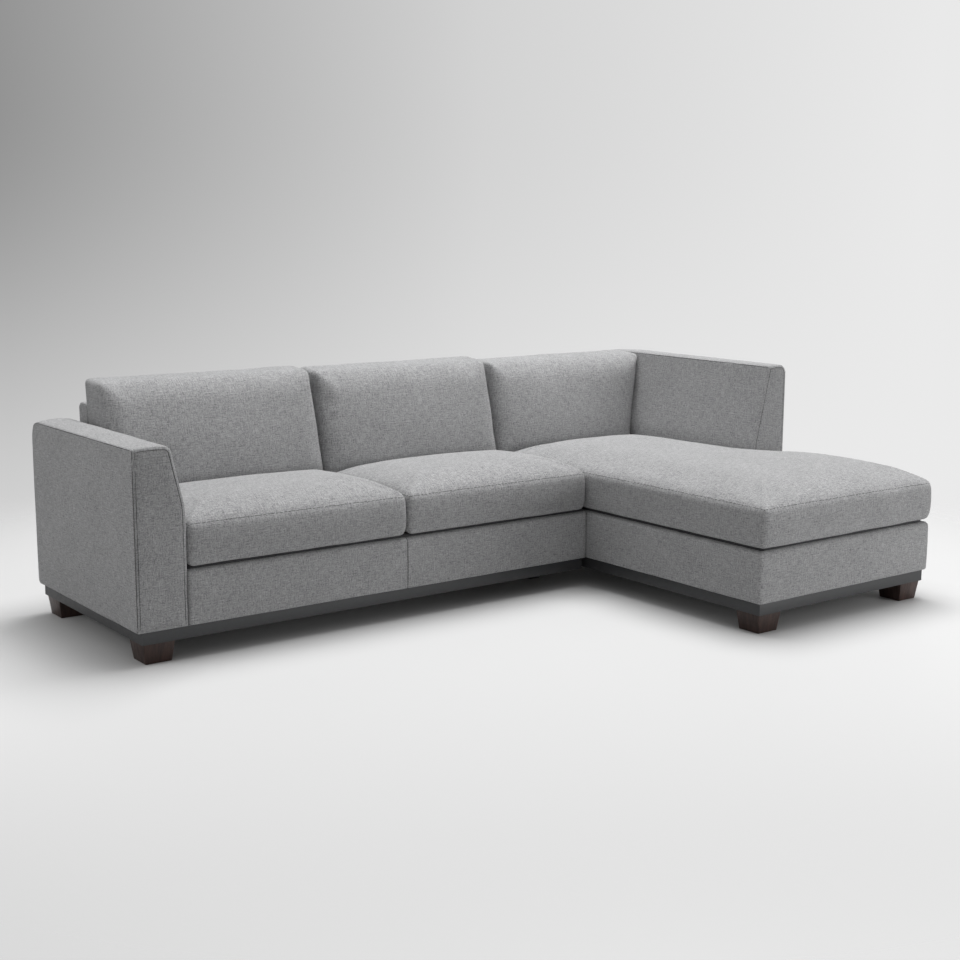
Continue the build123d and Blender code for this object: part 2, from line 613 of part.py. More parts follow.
def build_connector():
    """Channel on the sofa section, open at the top, and the tongue that drops into it."""
    s = CHANNEL_SHEET
    z0 = CONNECTOR_BOTTOM
    z1 = z0 + CHANNEL_HEIGHT
    x0 = SOFA_END
    x1 = SOFA_END + CHANNEL_DEPTH
    channels = []
    tongues = []
    for y in connector_places():
        half = CHANNEL_WIDTH / 2
        slot = CHANNEL_SLOT / 2
        body = block(x0, x1, y - half, y + half, z0, z1)
        body -= block(x0 + s, x1 - s, y - half + s, y + half - s, z0 + s, z1 + 1)
        body -= block(x1 - s - 1, x1 + 1, y - slot, y + slot, z0 + s, z1 + 1)
        channels.append(body)
        g = FIT_GAP
        low = z0 + s + REST_GAP
        blade = block(x0 + s + g, x1 - s - g, y - half + s + g, y + half - s - g, low, z1)
        neck = block(x1 - s - g, JOIN + PAD - s, y - slot + g, y + slot - g, low, z1)
        plate_half = TONGUE_PLATE / 2
        plate = block(JOIN + PAD - s, JOIN + PAD, y - plate_half, y + plate_half, low, z1)
        tongues.append(blade + neck + plate)
    PARTS["sofa_connector_channel"] = group(channels)
    PARTS["chaise_connector_tongue"] = group(tongues)


def build_cushions():
    """Covers with their wrap, and the cores inside them."""
    g = CUSHION_GAP
    w = WRAP
    rear = SEAT_REAR
    core_rear = SEAT_REAR - g - w
    c = SEAT_CORNER
    seats = {"seat_cushion_left": (ARM_INNER + g / 2, SEAT_SPLIT - g / 2),
             "seat_cushion_right": (SEAT_SPLIT + g / 2, SOFA_END - g / 2)}
    for name, (x0, x1) in seats.items():
        plan = [(x0, SOFA_FRONT), (x1, SOFA_FRONT), (x1, rear), (x0, rear)]
        y0 = SOFA_FRONT + w
        core = seat_core([(x0 + w, y0), (x1 - w, y0), (x1 - w, core_rear), (x0 + w, core_rear)])
        PARTS[name + "_core"] = core
        form = seat_cushion(plan, [c, c, 0, 0], x0, x1, SOFA_FRONT, SEAT_CROWN)
        PARTS[name + "_cover"] = form - core
    ear = RETURN_FRONT - g
    side = RETURN_INNER - g
    plan = [(JOIN, FRONT), (RIGHT, FRONT), (RIGHT, ear), (side, ear), (side, rear), (JOIN, rear)]
    core = [(JOIN + w, FRONT + w), (RIGHT - w, FRONT + w), (RIGHT - w, ear - w), (side - w, ear - w)]
    core = seat_core(core + [(side - w, core_rear), (JOIN + w, core_rear)])
    PARTS["chaise_cushion_core"] = core
    form = seat_cushion(plan, [c, c, c, 0, 0, 0], JOIN, RIGHT, FRONT, CHAISE_CROWN)
    PARTS["chaise_cushion_cover"] = form - core
    backs = {"back_cushion_left": (ARM_INNER + g / 2, SEAT_SPLIT - g / 2, False),
             "back_cushion_centre": (SEAT_SPLIT + g / 2, SOFA_END - g / 2, False),
             "back_cushion_right": (JOIN + g / 2, RETURN_INNER - g, True)}
    for name, (x0, x1, return_side) in backs.items():
        cover, core = back_cushion(x0, x1, return_side)
        PARTS[name + "_cover"] = cover
        PARTS[name + "_core"] = core


build_sofa_section()
build_chaise_section()
build_connector()
build_cushions()
for node, shape in PARTS.items():
    export_step(shape, f"parts/{node}.step")
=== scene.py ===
"""Dresses the L-shaped sectional sofa: cushions, upholstery, seams, base and studio."""

import logging
import math
from dataclasses import dataclass
from enum import Enum
from typing import Iterable, Sequence

import bmesh
import bpy
import numpy as np
from mathutils import Matrix, Vector, noise


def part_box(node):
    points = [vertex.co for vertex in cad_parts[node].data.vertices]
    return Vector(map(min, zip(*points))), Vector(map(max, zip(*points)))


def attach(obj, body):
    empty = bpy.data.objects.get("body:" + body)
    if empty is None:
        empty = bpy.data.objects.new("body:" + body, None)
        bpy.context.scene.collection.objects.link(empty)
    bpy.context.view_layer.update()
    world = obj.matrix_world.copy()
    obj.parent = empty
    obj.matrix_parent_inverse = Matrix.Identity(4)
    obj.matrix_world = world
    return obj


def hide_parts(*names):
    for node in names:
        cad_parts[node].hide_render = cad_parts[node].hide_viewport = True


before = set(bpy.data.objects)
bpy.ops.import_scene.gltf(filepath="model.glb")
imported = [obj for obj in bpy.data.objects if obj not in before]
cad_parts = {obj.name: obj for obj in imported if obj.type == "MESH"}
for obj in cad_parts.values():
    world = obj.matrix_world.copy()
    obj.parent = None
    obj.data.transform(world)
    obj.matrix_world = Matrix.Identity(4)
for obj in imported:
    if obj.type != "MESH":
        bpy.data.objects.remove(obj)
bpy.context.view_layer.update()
LOG = logging.getLogger("sofa")
Triple = tuple[float, float, float]
Pair = tuple[float, float]
Socket = bpy.types.NodeSocket
Piece = bpy.types.Object
WEAVE_MAP = "weave"
COLOUR, VALUE, VECTOR = "NodeSocketColor", "NodeSocketFloat", "NodeSocketVector"
SEAM_HEIGHT = 0.4378
KNEE = 0.497
SIDE_LEAN = math.tan(math.radians(13.3))
BACK_LEAN = 0.067
ROUND_STEPS = 4
TINY = 1e-6
PROBE = 1e-5
NOT_ZERO = 1e-9
CHUNK = 4000
WHITE = (1.0, 1.0, 1.0, 1.0)


class Slot(Enum):
    """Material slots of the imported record."""

    UPHOLSTERY = "upholstery"
    FOAM = "foam"
    DECK = "deck_cloth"
    WEBBING = "webbing"
    DUST = "dust_cloth"
    PLINTH = "plinth_paint"
    FOOT = "foot_wood"
    LEG = "leg_plastic"
    FRAME = "frame_wood"
    STEEL = "zinc_steel"


class Body(Enum):
    """Moving bodies of the sofa."""

    SOFA = "sofa_section"
    CHAISE = "chaise_section"
    SEAT_LEFT = "seat_cushion_left"
    SEAT_RIGHT = "seat_cushion_right"
    CHAISE_SEAT = "chaise_cushion"
    BACK_LEFT = "back_cushion_left"
    BACK_CENTRE = "back_cushion_centre"
    BACK_RIGHT = "back_cushion_right"


class Place(Enum):
    """Where a pattern takes its coordinates from."""

    WEAVE = "weave"
    OBJECT = "object"


# ---------------------------------------------------------------- finishes


class NodeSheet:
    """Short calls for adding and joining the nodes of one tree."""

    def __init__(self, tree: bpy.types.NodeTree) -> None:
        """Takes the tree that the calls fill."""
        self.tree = tree

    def put(self, socket: Socket, value: object) -> None:
        """Links a socket to another one, or sets its plain value."""
        if isinstance(value, Socket):
            self.tree.links.new(value, socket)
        else:
            socket.default_value = value

    def add(self, kind: str, values: dict | None = None, **settings: object) -> bpy.types.Node:
        """Adds one node.

        Args:
            kind: Blender's type name of the node.
            values: Input socket, by name or number, to a value or a socket to link.
            settings: Properties of the node itself.

        Returns:
            The new node.
        """
        node = self.tree.nodes.new(kind)
        for key, value in settings.items():
            setattr(node, key, value)
        for key, value in (values or {}).items():
            self.put(node.inputs[key], value)
        return node

    def math(self, operation: str, a: object, b: object = 0.0) -> Socket:
        """Adds a Math node and returns its result."""
        return self.add("ShaderNodeMath", {0: a, 1: b}, operation=operation).outputs[0]

    def stretch(self, place: object, scale: Sequence[float]) -> Socket:
        """Scales coordinates by a different amount along each axis."""
        return self.add("ShaderNodeMapping", {"Vector": place, "Scale": tuple(scale)}).outputs[0]

    def noise(self, place: object, scale: float, detail: float = 2.0) -> Socket:
        """Adds a noise and returns its value."""
        values = {"Vector": place, "Scale": scale, "Detail": detail}
        return self.add("ShaderNodeTexNoise", values).outputs[0]

    def sum(self, parts: Iterable[tuple[Socket, float]], middle: float = 0.0) -> Socket:
        """Adds values up by their weights, each counted from a middle."""
        total = 0.0
        for part, weight in parts:
            part = self.math("SUBTRACT", part, middle) if middle else part
            total = self.math("ADD", total, self.math("MULTIPLY", part, weight))
        return total

    def blend(self, factor: object, a: object, b: object) -> Socket:
        """Mixes two colours by a factor and returns the colour."""
        return self.add("ShaderNodeMix", {0: factor, 6: a, 7: b}, data_type="RGBA").outputs[2]

    def mix(self, factor: object, a: object, b: object) -> Socket:
        """Mixes two values by a factor and returns the value."""
        return self.add("ShaderNodeMix", {0: factor, 2: a, 3: b}).outputs[0]

    def span(self, value: object, ends: Pair, result: Pair = (0.0, 1.0),
             ease: str = "LINEAR") -> Socket:
        """Maps a value from one range to another, held at the ends."""
        values = {0: value, 1: ends[0], 2: ends[1], 3: result[0], 4: result[1]}
        return self.add("ShaderNodeMapRange", values, interpolation_type=ease).outputs[0]


class Effect:
    """A shader node group that paints a pattern in a light and a dark tone."""

    def __init__(self, name: str, numbers: Sequence[str]) -> None:
        """Makes the empty group.

        Args:
            name: Name of the group.
            numbers: Names of the plain values that a finish sets.
        """
        self.tree = bpy.data.node_groups.new(name, "ShaderNodeTree")
        inputs = {"Place": VECTOR, "Light": COLOUR, "Dark": COLOUR} | dict.fromkeys(numbers, VALUE)
        outputs = {"Color": COLOUR, "Height": VALUE, "Roughness": VALUE}
        for kind, sockets in (("INPUT", inputs), ("OUTPUT", outputs)):
            for label, socket in sockets.items():
                self.tree.interface.new_socket(label, in_out=kind, socket_type=socket)
        self.sheet = NodeSheet(self.tree)
        self.given = self.sheet.add("NodeGroupInput").outputs
        self.result = self.sheet.add("NodeGroupOutput").inputs

    def place(self, scale: Socket) -> Socket:
        """Returns the pattern's coordinates times a scale."""
        values = {0: self.given["Place"], "Scale": scale}
        return self.sheet.add("ShaderNodeVectorMath", values, operation="SCALE").outputs[0]

    def close(self, factor: Socket, height: Socket, roughness: Socket) -> "Effect":
        """Joins the share of the light tone, the relief and the roughness to the outputs.

        Args:
            factor: Share of the light tone.
            height: Relief from 0 to 1.
            roughness: Roughness of the surface.

        Returns:
            The finished group.
        """
        colour = self.sheet.blend(factor, self.given["Dark"], self.given["Light"])
        for label, value in (("Color", colour), ("Height", height), ("Roughness", roughness)):
            self.sheet.put(self.result[label], value)
        return self

    def use(self, sheet: NodeSheet, values: dict) -> bpy.types.Node:
        """Places the group in a material with that material's own values."""
        return sheet.add("ShaderNodeGroup", values, node_tree=self.tree)


def weave_effect() -> Effect:
    """Returns a plain weave of mixed light and dark yarns."""
    effect = Effect("heathered_weave", ("Pitch", "Heather"))
    s = effect.sheet
    thread = effect.place(s.math("DIVIDE", 1.0, effect.given["Pitch"]))
    axes = s.add("ShaderNodeSeparateXYZ", {0: thread}).outputs
    warp, weft = (s.math("SINE", s.math("MULTIPLY", axes[n], math.pi)) for n in range(2))
    crossing = s.math("MULTIPLY", warp, weft)

    def streaks(fine: float, long: float, detail: float) -> list[Socket]:
        """Returns two noises, drawn out along the warp and along the weft."""
        scales = ((fine, long, 0.5), (long, fine, 0.5))
        return [s.noise(s.stretch(thread, scale), 1.0, detail) for scale in scales]

    warp_yarn, weft_yarn = streaks(0.62, 0.07, 3.0)
    yarn = s.mix(s.span(crossing, (-0.15, 0.15)), weft_yarn, warp_yarn)
    down, across = streaks(0.34, 0.05, 2.0)
    mottle, cloud = s.noise(thread, 0.34, 3.0), s.noise(thread, 0.012, 2.0)
    weights = ((yarn, 1.4), (down, 0.6), (across, 0.6), (mottle, 1.3), (cloud, 0.2))
    factor = s.math("MULTIPLY_ADD", s.sum(weights, 0.5), effect.given["Heather"])
    factor.node.inputs[2].default_value = 0.5
    factor.node.use_clamp = True
    relief = s.sum(((s.math("ABSOLUTE", crossing), 0.6), (yarn, 0.4)))
    return effect.close(factor, relief, s.span(yarn, (0.3, 0.7), (0.96, 0.82)))


def grain_effect() -> Effect:
    """Returns a long wood grain with pores, along the local Z axis."""
    effect = Effect("wood_grain", ("Scale",))
    s = effect.sheet
    place = effect.place(effect.given["Scale"])
    figure = s.noise(s.stretch(place, (1.0, 1.0, 0.12)), 1.0, 4.0)
    pores = s.noise(s.stretch(place, (9.0, 9.0, 0.5)), 1.0, 2.0)
    tone = s.sum(((figure, 0.75), (pores, 0.25)))
    return effect.close(s.span(tone, (0.34, 0.66)), pores, s.span(tone, (0.3, 0.7), (0.52, 0.34)))


def speckle_effect() -> Effect:
    """Returns the fine grain of paint, moulded plastic, foam or plating."""
    effect = Effect("fine_speckle", ("Scale", "Rough"))
    s = effect.sheet
    place = effect.place(effect.given["Scale"])
    fine, broad = s.noise(place, 1.0, 3.0), s.noise(place, 0.06, 3.0)
    tone = s.sum(((fine, 0.5), (broad, 0.5)))
    drift = s.math("ADD", effect.given["Rough"], s.sum(((broad, 0.3),), 0.5))
    return effect.close(s.span(tone, (0.35, 0.65)), fine, drift)


WEAVE, GRAIN, SPECKLE = weave_effect(), grain_effect(), speckle_effect()


@dataclass(frozen=True)
class Finish:
    """What every finish has: a name, two tones, a relief and a pattern."""

    name: str
    light: Triple
    dark: Triple
    relief: float = 0.0004
    place: Place = Place.OBJECT

    def pattern(self) -> tuple[Effect, dict[str, float]]:
        """Returns the effect that paints the finish, and the values it is given."""
        raise NotImplementedError

    def gloss(self) -> dict[str, float]:
        """Returns the shader's own constant values."""
        raise NotImplementedError

    def material(self) -> bpy.types.Material:
        """Returns the finish as a material."""
        material = bpy.data.materials.new(self.name)
        material.use_nodes = True
        s = NodeSheet(material.node_tree)
        if self.place is Place.WEAVE:
            place = s.add("ShaderNodeUVMap", uv_map=WEAVE_MAP).outputs[0]
        else:
            place = s.add("ShaderNodeTexCoord").outputs["Object"]
        effect, values = self.pattern()
        tones = {"Place": place, "Light": (*self.light, 1.0), "Dark": (*self.dark, 1.0)}
        made = effect.use(s, values | tones).outputs
        bump = s.add("ShaderNodeBump", {"Height": made["Height"], "Distance": self.relief})
        joined = {"Base Color": made["Color"], "Roughness": made["Roughness"],
                  "Normal": bump.outputs[0]}
        shader = material.node_tree.nodes["Principled BSDF"]
        for label, value in (joined | self.gloss()).items():
            s.put(shader.inputs[label], value)
        return material


@dataclass(frozen=True)
class ClothFinish(Finish):
    """A woven cloth of light and dark yarns."""

    pitch: float = 0.0016
    heather: float = 1.0
    sheen: float = 0.15

    def pattern(self) -> tuple[Effect, dict[str, float]]:
        """Returns the weave with this cloth's yarns."""
        return WEAVE, {"Pitch": self.pitch, "Heather": self.heather}

    def gloss(self) -> dict[str, float]:
        """Returns the soft sheen of yarn."""
        return {"Sheen Weight": self.sheen, "Sheen Roughness": 0.5, "Specular IOR Level": 0.2}


@dataclass(frozen=True)
class WoodFinish(Finish):
    """Stained or bare wood."""

    scale: float = 60.0
    coat: float = 0.0

    def pattern(self) -> tuple[Effect, dict[str, float]]:
        """Returns the grain at this wood's scale."""
        return GRAIN, {"Scale": self.scale}

    def gloss(self) -> dict[str, float]:
        """Returns the gloss of wood under its coat."""
        return {"Specular IOR Level": 0.3, "Coat Weight": self.coat, "Coat Roughness": 0.3}


@dataclass(frozen=True)
class SpeckleFinish(Finish):
    """Paint, plastic, foam or plated steel."""

    scale: float = 900.0
    rough: float = 0.5
    metallic: float = 0.0

    def pattern(self) -> tuple[Effect, dict[str, float]]:
        """Returns the speckle with this surface's scale and roughness."""
        return SPECKLE, {"Scale": self.scale, "Rough": self.rough}

    def gloss(self) -> dict[str, float]:
        """Returns how far the surface is metal."""
        return {"Metallic": self.metallic}


FINISHES: dict[Slot, Finish] = {
    Slot.UPHOLSTERY: ClothFinish("grey_heather_cloth", (0.56, 0.56, 0.565), (0.165, 0.166, 0.17),
                                 0.0007, Place.WEAVE),
    Slot.DECK: ClothFinish("charcoal_deck_cloth", (0.10, 0.10, 0.105), (0.05, 0.05, 0.053),
                           0.0005, Place.WEAVE, 0.0012, 0.8),
    Slot.WEBBING: ClothFinish("jute_webbing", (0.46, 0.37, 0.25), (0.27, 0.20, 0.12),
                              0.0008, Place.OBJECT, 0.0025),
    Slot.DUST: ClothFinish("black_dust_cloth", (0.035, 0.035, 0.037), (0.015, 0.015, 0.016),
                           0.0003, Place.WEAVE, 0.0009, 0.8, 0.05),
    Slot.FOAM: SpeckleFinish("cream_foam", (0.74, 0.68, 0.52), (0.62, 0.55, 0.39), 0.0006,
                             scale=700.0, rough=0.9),
    Slot.PLINTH: SpeckleFinish("charcoal_plinth_paint", (0.037, 0.038, 0.0402),
                               (0.0245, 0.0252, 0.0268), 0.00012, scale=1100.0, rough=0.5),
    Slot.FOOT: WoodFinish("espresso_foot_wood", (0.058, 0.031, 0.0245), (0.0215, 0.0115, 0.0095),
                          0.0002, scale=95.0, coat=0.06),
    Slot.LEG: SpeckleFinish("black_leg_plastic", (0.022, 0.022, 0.023), (0.012, 0.012, 0.0125),
                            0.0001, scale=1400.0, rough=0.45),
    Slot.FRAME: WoodFinish("pale_frame_wood", (0.62, 0.45, 0.27), (0.42, 0.27, 0.14),
                           0.0003, scale=40.0),
    Slot.STEEL: SpeckleFinish("zinc_plated_steel", (0.66, 0.66, 0.65), (0.50, 0.50, 0.49), 0.00005,
                              scale=600.0, rough=0.34, metallic=1.0),
}
# Painted shade: the seam finish colours a thin dark tube along each seam, standing in for the
# shade that falls in the seam's groove.
SEAM_SHADE_FINISH = ClothFinish("seam_shadow", (0.100, 0.100, 0.101), (0.056, 0.056, 0.057),
                          0.0002, Place.OBJECT, 0.0008, 0.6, 0.0)
# The stitches are real thread, but their dark tone is painted seam shade, close to the seam tube's
# tone so the line reads as one.
SHADED_THREAD_FINISH = ClothFinish("stitch_thread_shaded", (0.115, 0.115, 0.117), (0.068, 0.068, 0.069),
                            0.0002, Place.OBJECT, 0.0008, 0.6, 0.0)
MATERIALS = {slot: finish.material() for slot, finish in FINISHES.items()}
SEAM_SHADE_MATERIAL = SEAM_SHADE_FINISH.material()
SHADED_THREAD_MATERIAL = SHADED_THREAD_FINISH.material()


# ---------------------------------------------------------------- mesh tools


def stations(stops: Sequence[float], step: float) -> np.ndarray:
    """Divides each stretch between stops evenly.

    Args:
        stops: Rising positions that are all kept.
        step: Largest distance between two divisions.

    Returns:
        All positions in order.
    """
    parts = [np.array([stops[0]])]
    for a, b in zip(stops, stops[1:]):
        count = max(1, math.ceil((b - a) / step - TINY))
        parts.append(np.linspace(a, b, count + 1)[1:])
    return np.concatenate(parts)


@dataclass
class Outline:
    """A closed outline with rounded corners, in anticlockwise order."""

    corners: Sequence[Pair]
    radii: Sequence[float]
    step: float
    least: float = 0.0012
    arc_step: float = 0.26

    def shrunk(self, inset: float) -> list[np.ndarray]:
        """Corners of the outline moved inwards by an even distance."""
        moved = []
        corners = [np.array(corner) for corner in self.corners]
        for last, here, coming in zip(corners[-1:] + corners, corners, corners[1:] + corners[:1]):
            sides = (here - last, coming - here)
            a, b = (np.array([-side[1], side[0]]) / np.linalg.norm(side) for side in sides)
            moved.append(here + (a + b) * inset / (1 + a @ b))
        return moved

    def points(self, inset: float = 0.0) -> np.ndarray:
        """Rounds the corners and divides the straight runs.

        Args:
            inset: Distance that the outline moves inwards.

        Returns:
            Rows of two coordinates, as many for any inset.
        """
        moved = self.shrunk(inset)
        count = len(moved)
        arcs = []
        for n, (here, radius) in enumerate(zip(moved, self.radii)):
            if radius <= 0:
                arcs.append([here])
                continue
            before, after = moved[n - 1] - here, moved[(n + 1) % count] - here
            before, after = before / np.linalg.norm(before), after / np.linalg.norm(after)
            half = math.acos(float(np.clip(before @ after, -1, 1))) / 2
            small = max(radius - inset, self.least)
            middle = (before + after) / np.linalg.norm(before + after)
            centre = here + middle * small / math.sin(half)
            start = here + before * small / math.tan(half) - centre
            turn = math.pi - 2 * half
            across = np.array([-start[1], start[0]])
            angles = np.linspace(0, turn, max(3, math.ceil(turn / self.arc_step)) + 1)
            arcs.append([centre + start * math.cos(a) + across * math.sin(a) for a in angles])
        result = []
        for n, arc in enumerate(arcs):
            result.extend(arc)
            a, b = arc[-1], arcs[(n + 1) % count][0]
            whole = np.subtract(self.corners[(n + 1) % count], self.corners[n])
            pieces = max(1, math.ceil(np.linalg.norm(whole) / self.step))
            result.extend(a + (b - a) * t for t in np.linspace(0, 1, pieces + 1)[1:-1])
        return np.array(result)

    def normals(self) -> np.ndarray:
        """Outward direction at each point."""
        points = self.points()
        ahead = np.roll(points, -1, axis=0) - np.roll(points, 1, axis=0)
        normals = np.column_stack([ahead[:, 1], -ahead[:, 0]])
        return normals / np.linalg.norm(normals, axis=1)[:, None]


def linked(name: str, data: bpy.types.ID) -> Piece:
    """Makes an object of some data and links it to the scene."""
    piece = bpy.data.objects.new(name, data)
    bpy.context.scene.collection.objects.link(piece)
    return piece


def new_piece(name: str, points: np.ndarray, faces: Iterable[Sequence[int]]) -> Piece:
    """Makes a smooth mesh object with its faces turned outwards.

    Args:
        name: Name of the object.
        points: One row for each vertex, in metres.
        faces: Vertex numbers of each face.

    Returns:
        The object, linked to the scene.
    """
    mesh = bpy.data.meshes.new(name)
    mesh.from_pydata(np.asarray(points).tolist(), [], [list(map(int, f)) for f in faces])
    work = bmesh.new()
    work.from_mesh(mesh)
    bmesh.ops.recalc_face_normals(work, faces=work.faces)
    work.to_mesh(mesh)
    work.free()
    mesh.shade_smooth()
    return linked(name, mesh)


def vertex_array(mesh: bpy.types.Mesh, attribute: str = "co") -> np.ndarray:
    """Reads a mesh's positions or normals as rows of three."""
    values = np.empty(len(mesh.vertices) * 3)
    mesh.vertices.foreach_get(attribute, values)
    return values.reshape(-1, 3)


def set_points(mesh: bpy.types.Mesh, points: np.ndarray) -> None:
    """Writes a mesh's positions."""
    mesh.vertices.foreach_set("co", points.ravel())
    mesh.update()


def settle(piece: Piece) -> None:
    """Turns a piece's live modifiers into plain mesh."""
    graph = bpy.context.evaluated_depsgraph_get()
    made = bpy.data.meshes.new_from_object(piece.evaluated_get(graph))
    made.name = piece.name
    piece.modifiers.clear()
    piece.data = made


def subdivide(piece: Piece) -> None:
    """Adds one smooth subdivision to a piece's mesh."""
    modifier = piece.modifiers.new("smooth", "SUBSURF")
    modifier.levels = modifier.render_levels = 1
    settle(piece)
    piece.data.shade_smooth()


def lay_weave(mesh: bpy.types.Mesh) -> None:
    """Lays the cloth's weave on each face from the side it faces, in metres."""
    layer = mesh.uv_layers.new(name=WEAVE_MAP)
    points = vertex_array(mesh)
    corner = np.empty(len(mesh.loops), dtype=np.int32)
    mesh.loops.foreach_get("vertex_index", corner)
    normals = np.empty(len(mesh.polygons) * 3)
    mesh.polygons.foreach_get("normal", normals)
    totals = np.empty(len(mesh.polygons), dtype=np.int32)
    mesh.polygons.foreach_get("loop_total", totals)
    side = np.repeat(np.abs(normals.reshape(-1, 3)).argmax(axis=1), totals)
    across = np.where(side == 0, 1, 0)
    along = np.where(side == 2, 1, 2)
    rows = np.arange(len(corner))
    placed = points[corner]
    flat = np.column_stack([placed[rows, across], placed[rows, along]])
    layer.data.foreach_set("uv", flat.ravel())


def dress(piece: Piece, slot: Slot, body: Body, nodes: Sequence[str]) -> None:
    """Gives a finished piece its material, body and the nodes it stands for.

    Args:
        piece: A finished mesh object.
        slot: Material slot of its finish.
        body: Body that it moves with.
        nodes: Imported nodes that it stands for.
    """
    piece.data.materials.clear()
    piece.data.materials.append(MATERIALS[slot])
    if FINISHES[slot].place is Place.WEAVE:
        lay_weave(piece.data)
    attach(piece, body.value)
    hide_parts(*nodes)
    LOG.info("%s: %d faces on %s", piece.name, len(piece.data.polygons), body.value)


def nearest(points: np.ndarray, line: np.ndarray) -> tuple[np.ndarray, np.ndarray]:
    """Finds the nearest point of a line for each point.

    Args:
        points: Rows of three coordinates.
        line: Points along a line.

    Returns:
        The distances, and the length along the line to each nearest point.
    """
    run = np.concatenate([[0.0], np.cumsum(np.linalg.norm(np.diff(line, axis=0), axis=1))])
    distance, along = [], []
    for part in np.array_split(points, 1 + len(points) // CHUNK):
        gaps = np.linalg.norm(part[:, None, :] - line[None, :, :], axis=2)
        distance.append(gaps.min(axis=1))
        along.append(run[gaps.argmin(axis=1)])
    return np.concatenate(distance), np.concatenate(along)


@dataclass(frozen=True)
class Ruffle:
    """Small moves that sewing and stuffing leave on cloth."""

    pinch: float = 0.0016
    pinch_reach: float = 0.008
    pucker: float = 0.0011
    pucker_reach: float = 0.032
    pucker_reaches: int = 3
    pucker_length: float = 0.024
    swell: float = 0.0016
    swell_length: float = 0.13
    fold_length: float = 0.06
    fold_seed: float = 3.7

    def apply(self, mesh: bpy.types.Mesh, seams: Sequence[np.ndarray]) -> None:
        """Moves a mesh's points along their normals.

        Args:
            mesh: A finished skin.
            seams: Lines of the seams on it.
        """
        points = vertex_array(mesh)
        normals = vertex_array(mesh, "normal")
        move = np.array([noise.noise(Vector(p / self.swell_length)) for p in points]) * self.swell
        for seam in seams:
            distance, along = nearest(points, seam)
            move -= self.pinch * np.exp(-(distance / self.pinch_reach) ** 2)
            for n in np.flatnonzero(distance < self.pucker_reaches * self.pucker_reach):
                place = (along[n] / self.pucker_length, distance[n] / self.fold_length,
                         self.fold_seed)
                wave = noise.noise(Vector(place))
                move[n] += self.pucker * wave * math.exp(-distance[n] / self.pucker_reach)
        set_points(mesh, points + normals * move[:, None])


class Lattice:
    """A closed skin of quads over a block of cells: bottom, top and boxed sides."""

    def __init__(self, cells: np.ndarray, layers: int) -> None:
        """Skins the cells.

        Args:
            cells: True for each cell of the plan that the block fills.
            layers: Number of layers between bottom and top.
        """
        self.cells = cells
        self.layers = layers
        self.index: dict[tuple[int, int, int], int] = {}
        self.faces: list[tuple[int, ...]] = []
        follows: dict[tuple[int, int], tuple[int, int]] = {}
        for i, j in np.argwhere(cells).tolist():
            corners = [(i, j), (i + 1, j), (i + 1, j + 1), (i, j + 1)]
            self.faces.append(tuple(self.vertex(*c, layers) for c in corners))
            self.faces.append(tuple(self.vertex(*c, 0) for c in reversed(corners)))
            for n, (a, b) in enumerate([(i, j - 1), (i + 1, j), (i, j + 1), (i - 1, j)]):
                inside = 0 <= a < cells.shape[0] and 0 <= b < cells.shape[1] and cells[a, b]
                if not inside:
                    follows[corners[n]] = corners[(n + 1) % 4]
        self.rim = [min(follows)]
        while follows[self.rim[-1]] != self.rim[0]:
            self.rim.append(follows[self.rim[-1]])
        for a, b in zip(self.rim, self.rim[1:] + self.rim[:1]):
            for k in range(layers):
                self.faces.append((self.vertex(*a, k), self.vertex(*b, k),
                                   self.vertex(*b, k + 1), self.vertex(*a, k + 1)))
        self.keys = np.array(list(self.index))

    def vertex(self, i: int, j: int, k: int) -> int:
        """Returns the number of the vertex at one lattice point."""
        return self.index.setdefault((i, j, k), len(self.index))

    def ring(self, layer: int) -> list[int]:
        """Returns the vertices round the rim at one layer, in order."""
        return [self.vertex(i, j, layer) for i, j in self.rim]

    def membrane(self, rounds: int = 4000) -> np.ndarray:
        """Height of an even skin blown up inside the rim.

        Args:
            rounds: Number of relaxing steps.

        Returns:
            A height from 0 to 1 for each lattice vertex, by its place in the plan.
        """
        full = np.pad(self.cells, 1)
        inner = full[:-1, :-1] & full[1:, :-1] & full[:-1, 1:] & full[1:, 1:]
        height = np.zeros(inner.shape)
        for _ in range(rounds):
            padded = np.pad(height, 1)
            mean = padded[:-2, 1:-1] + padded[2:, 1:-1] + padded[1:-1, :-2] + padded[1:-1, 2:]
            height = np.where(inner, mean / 4 + 1.0, 0.0)
        return (height / height.max())[self.keys[:, 0], self.keys[:, 1]]


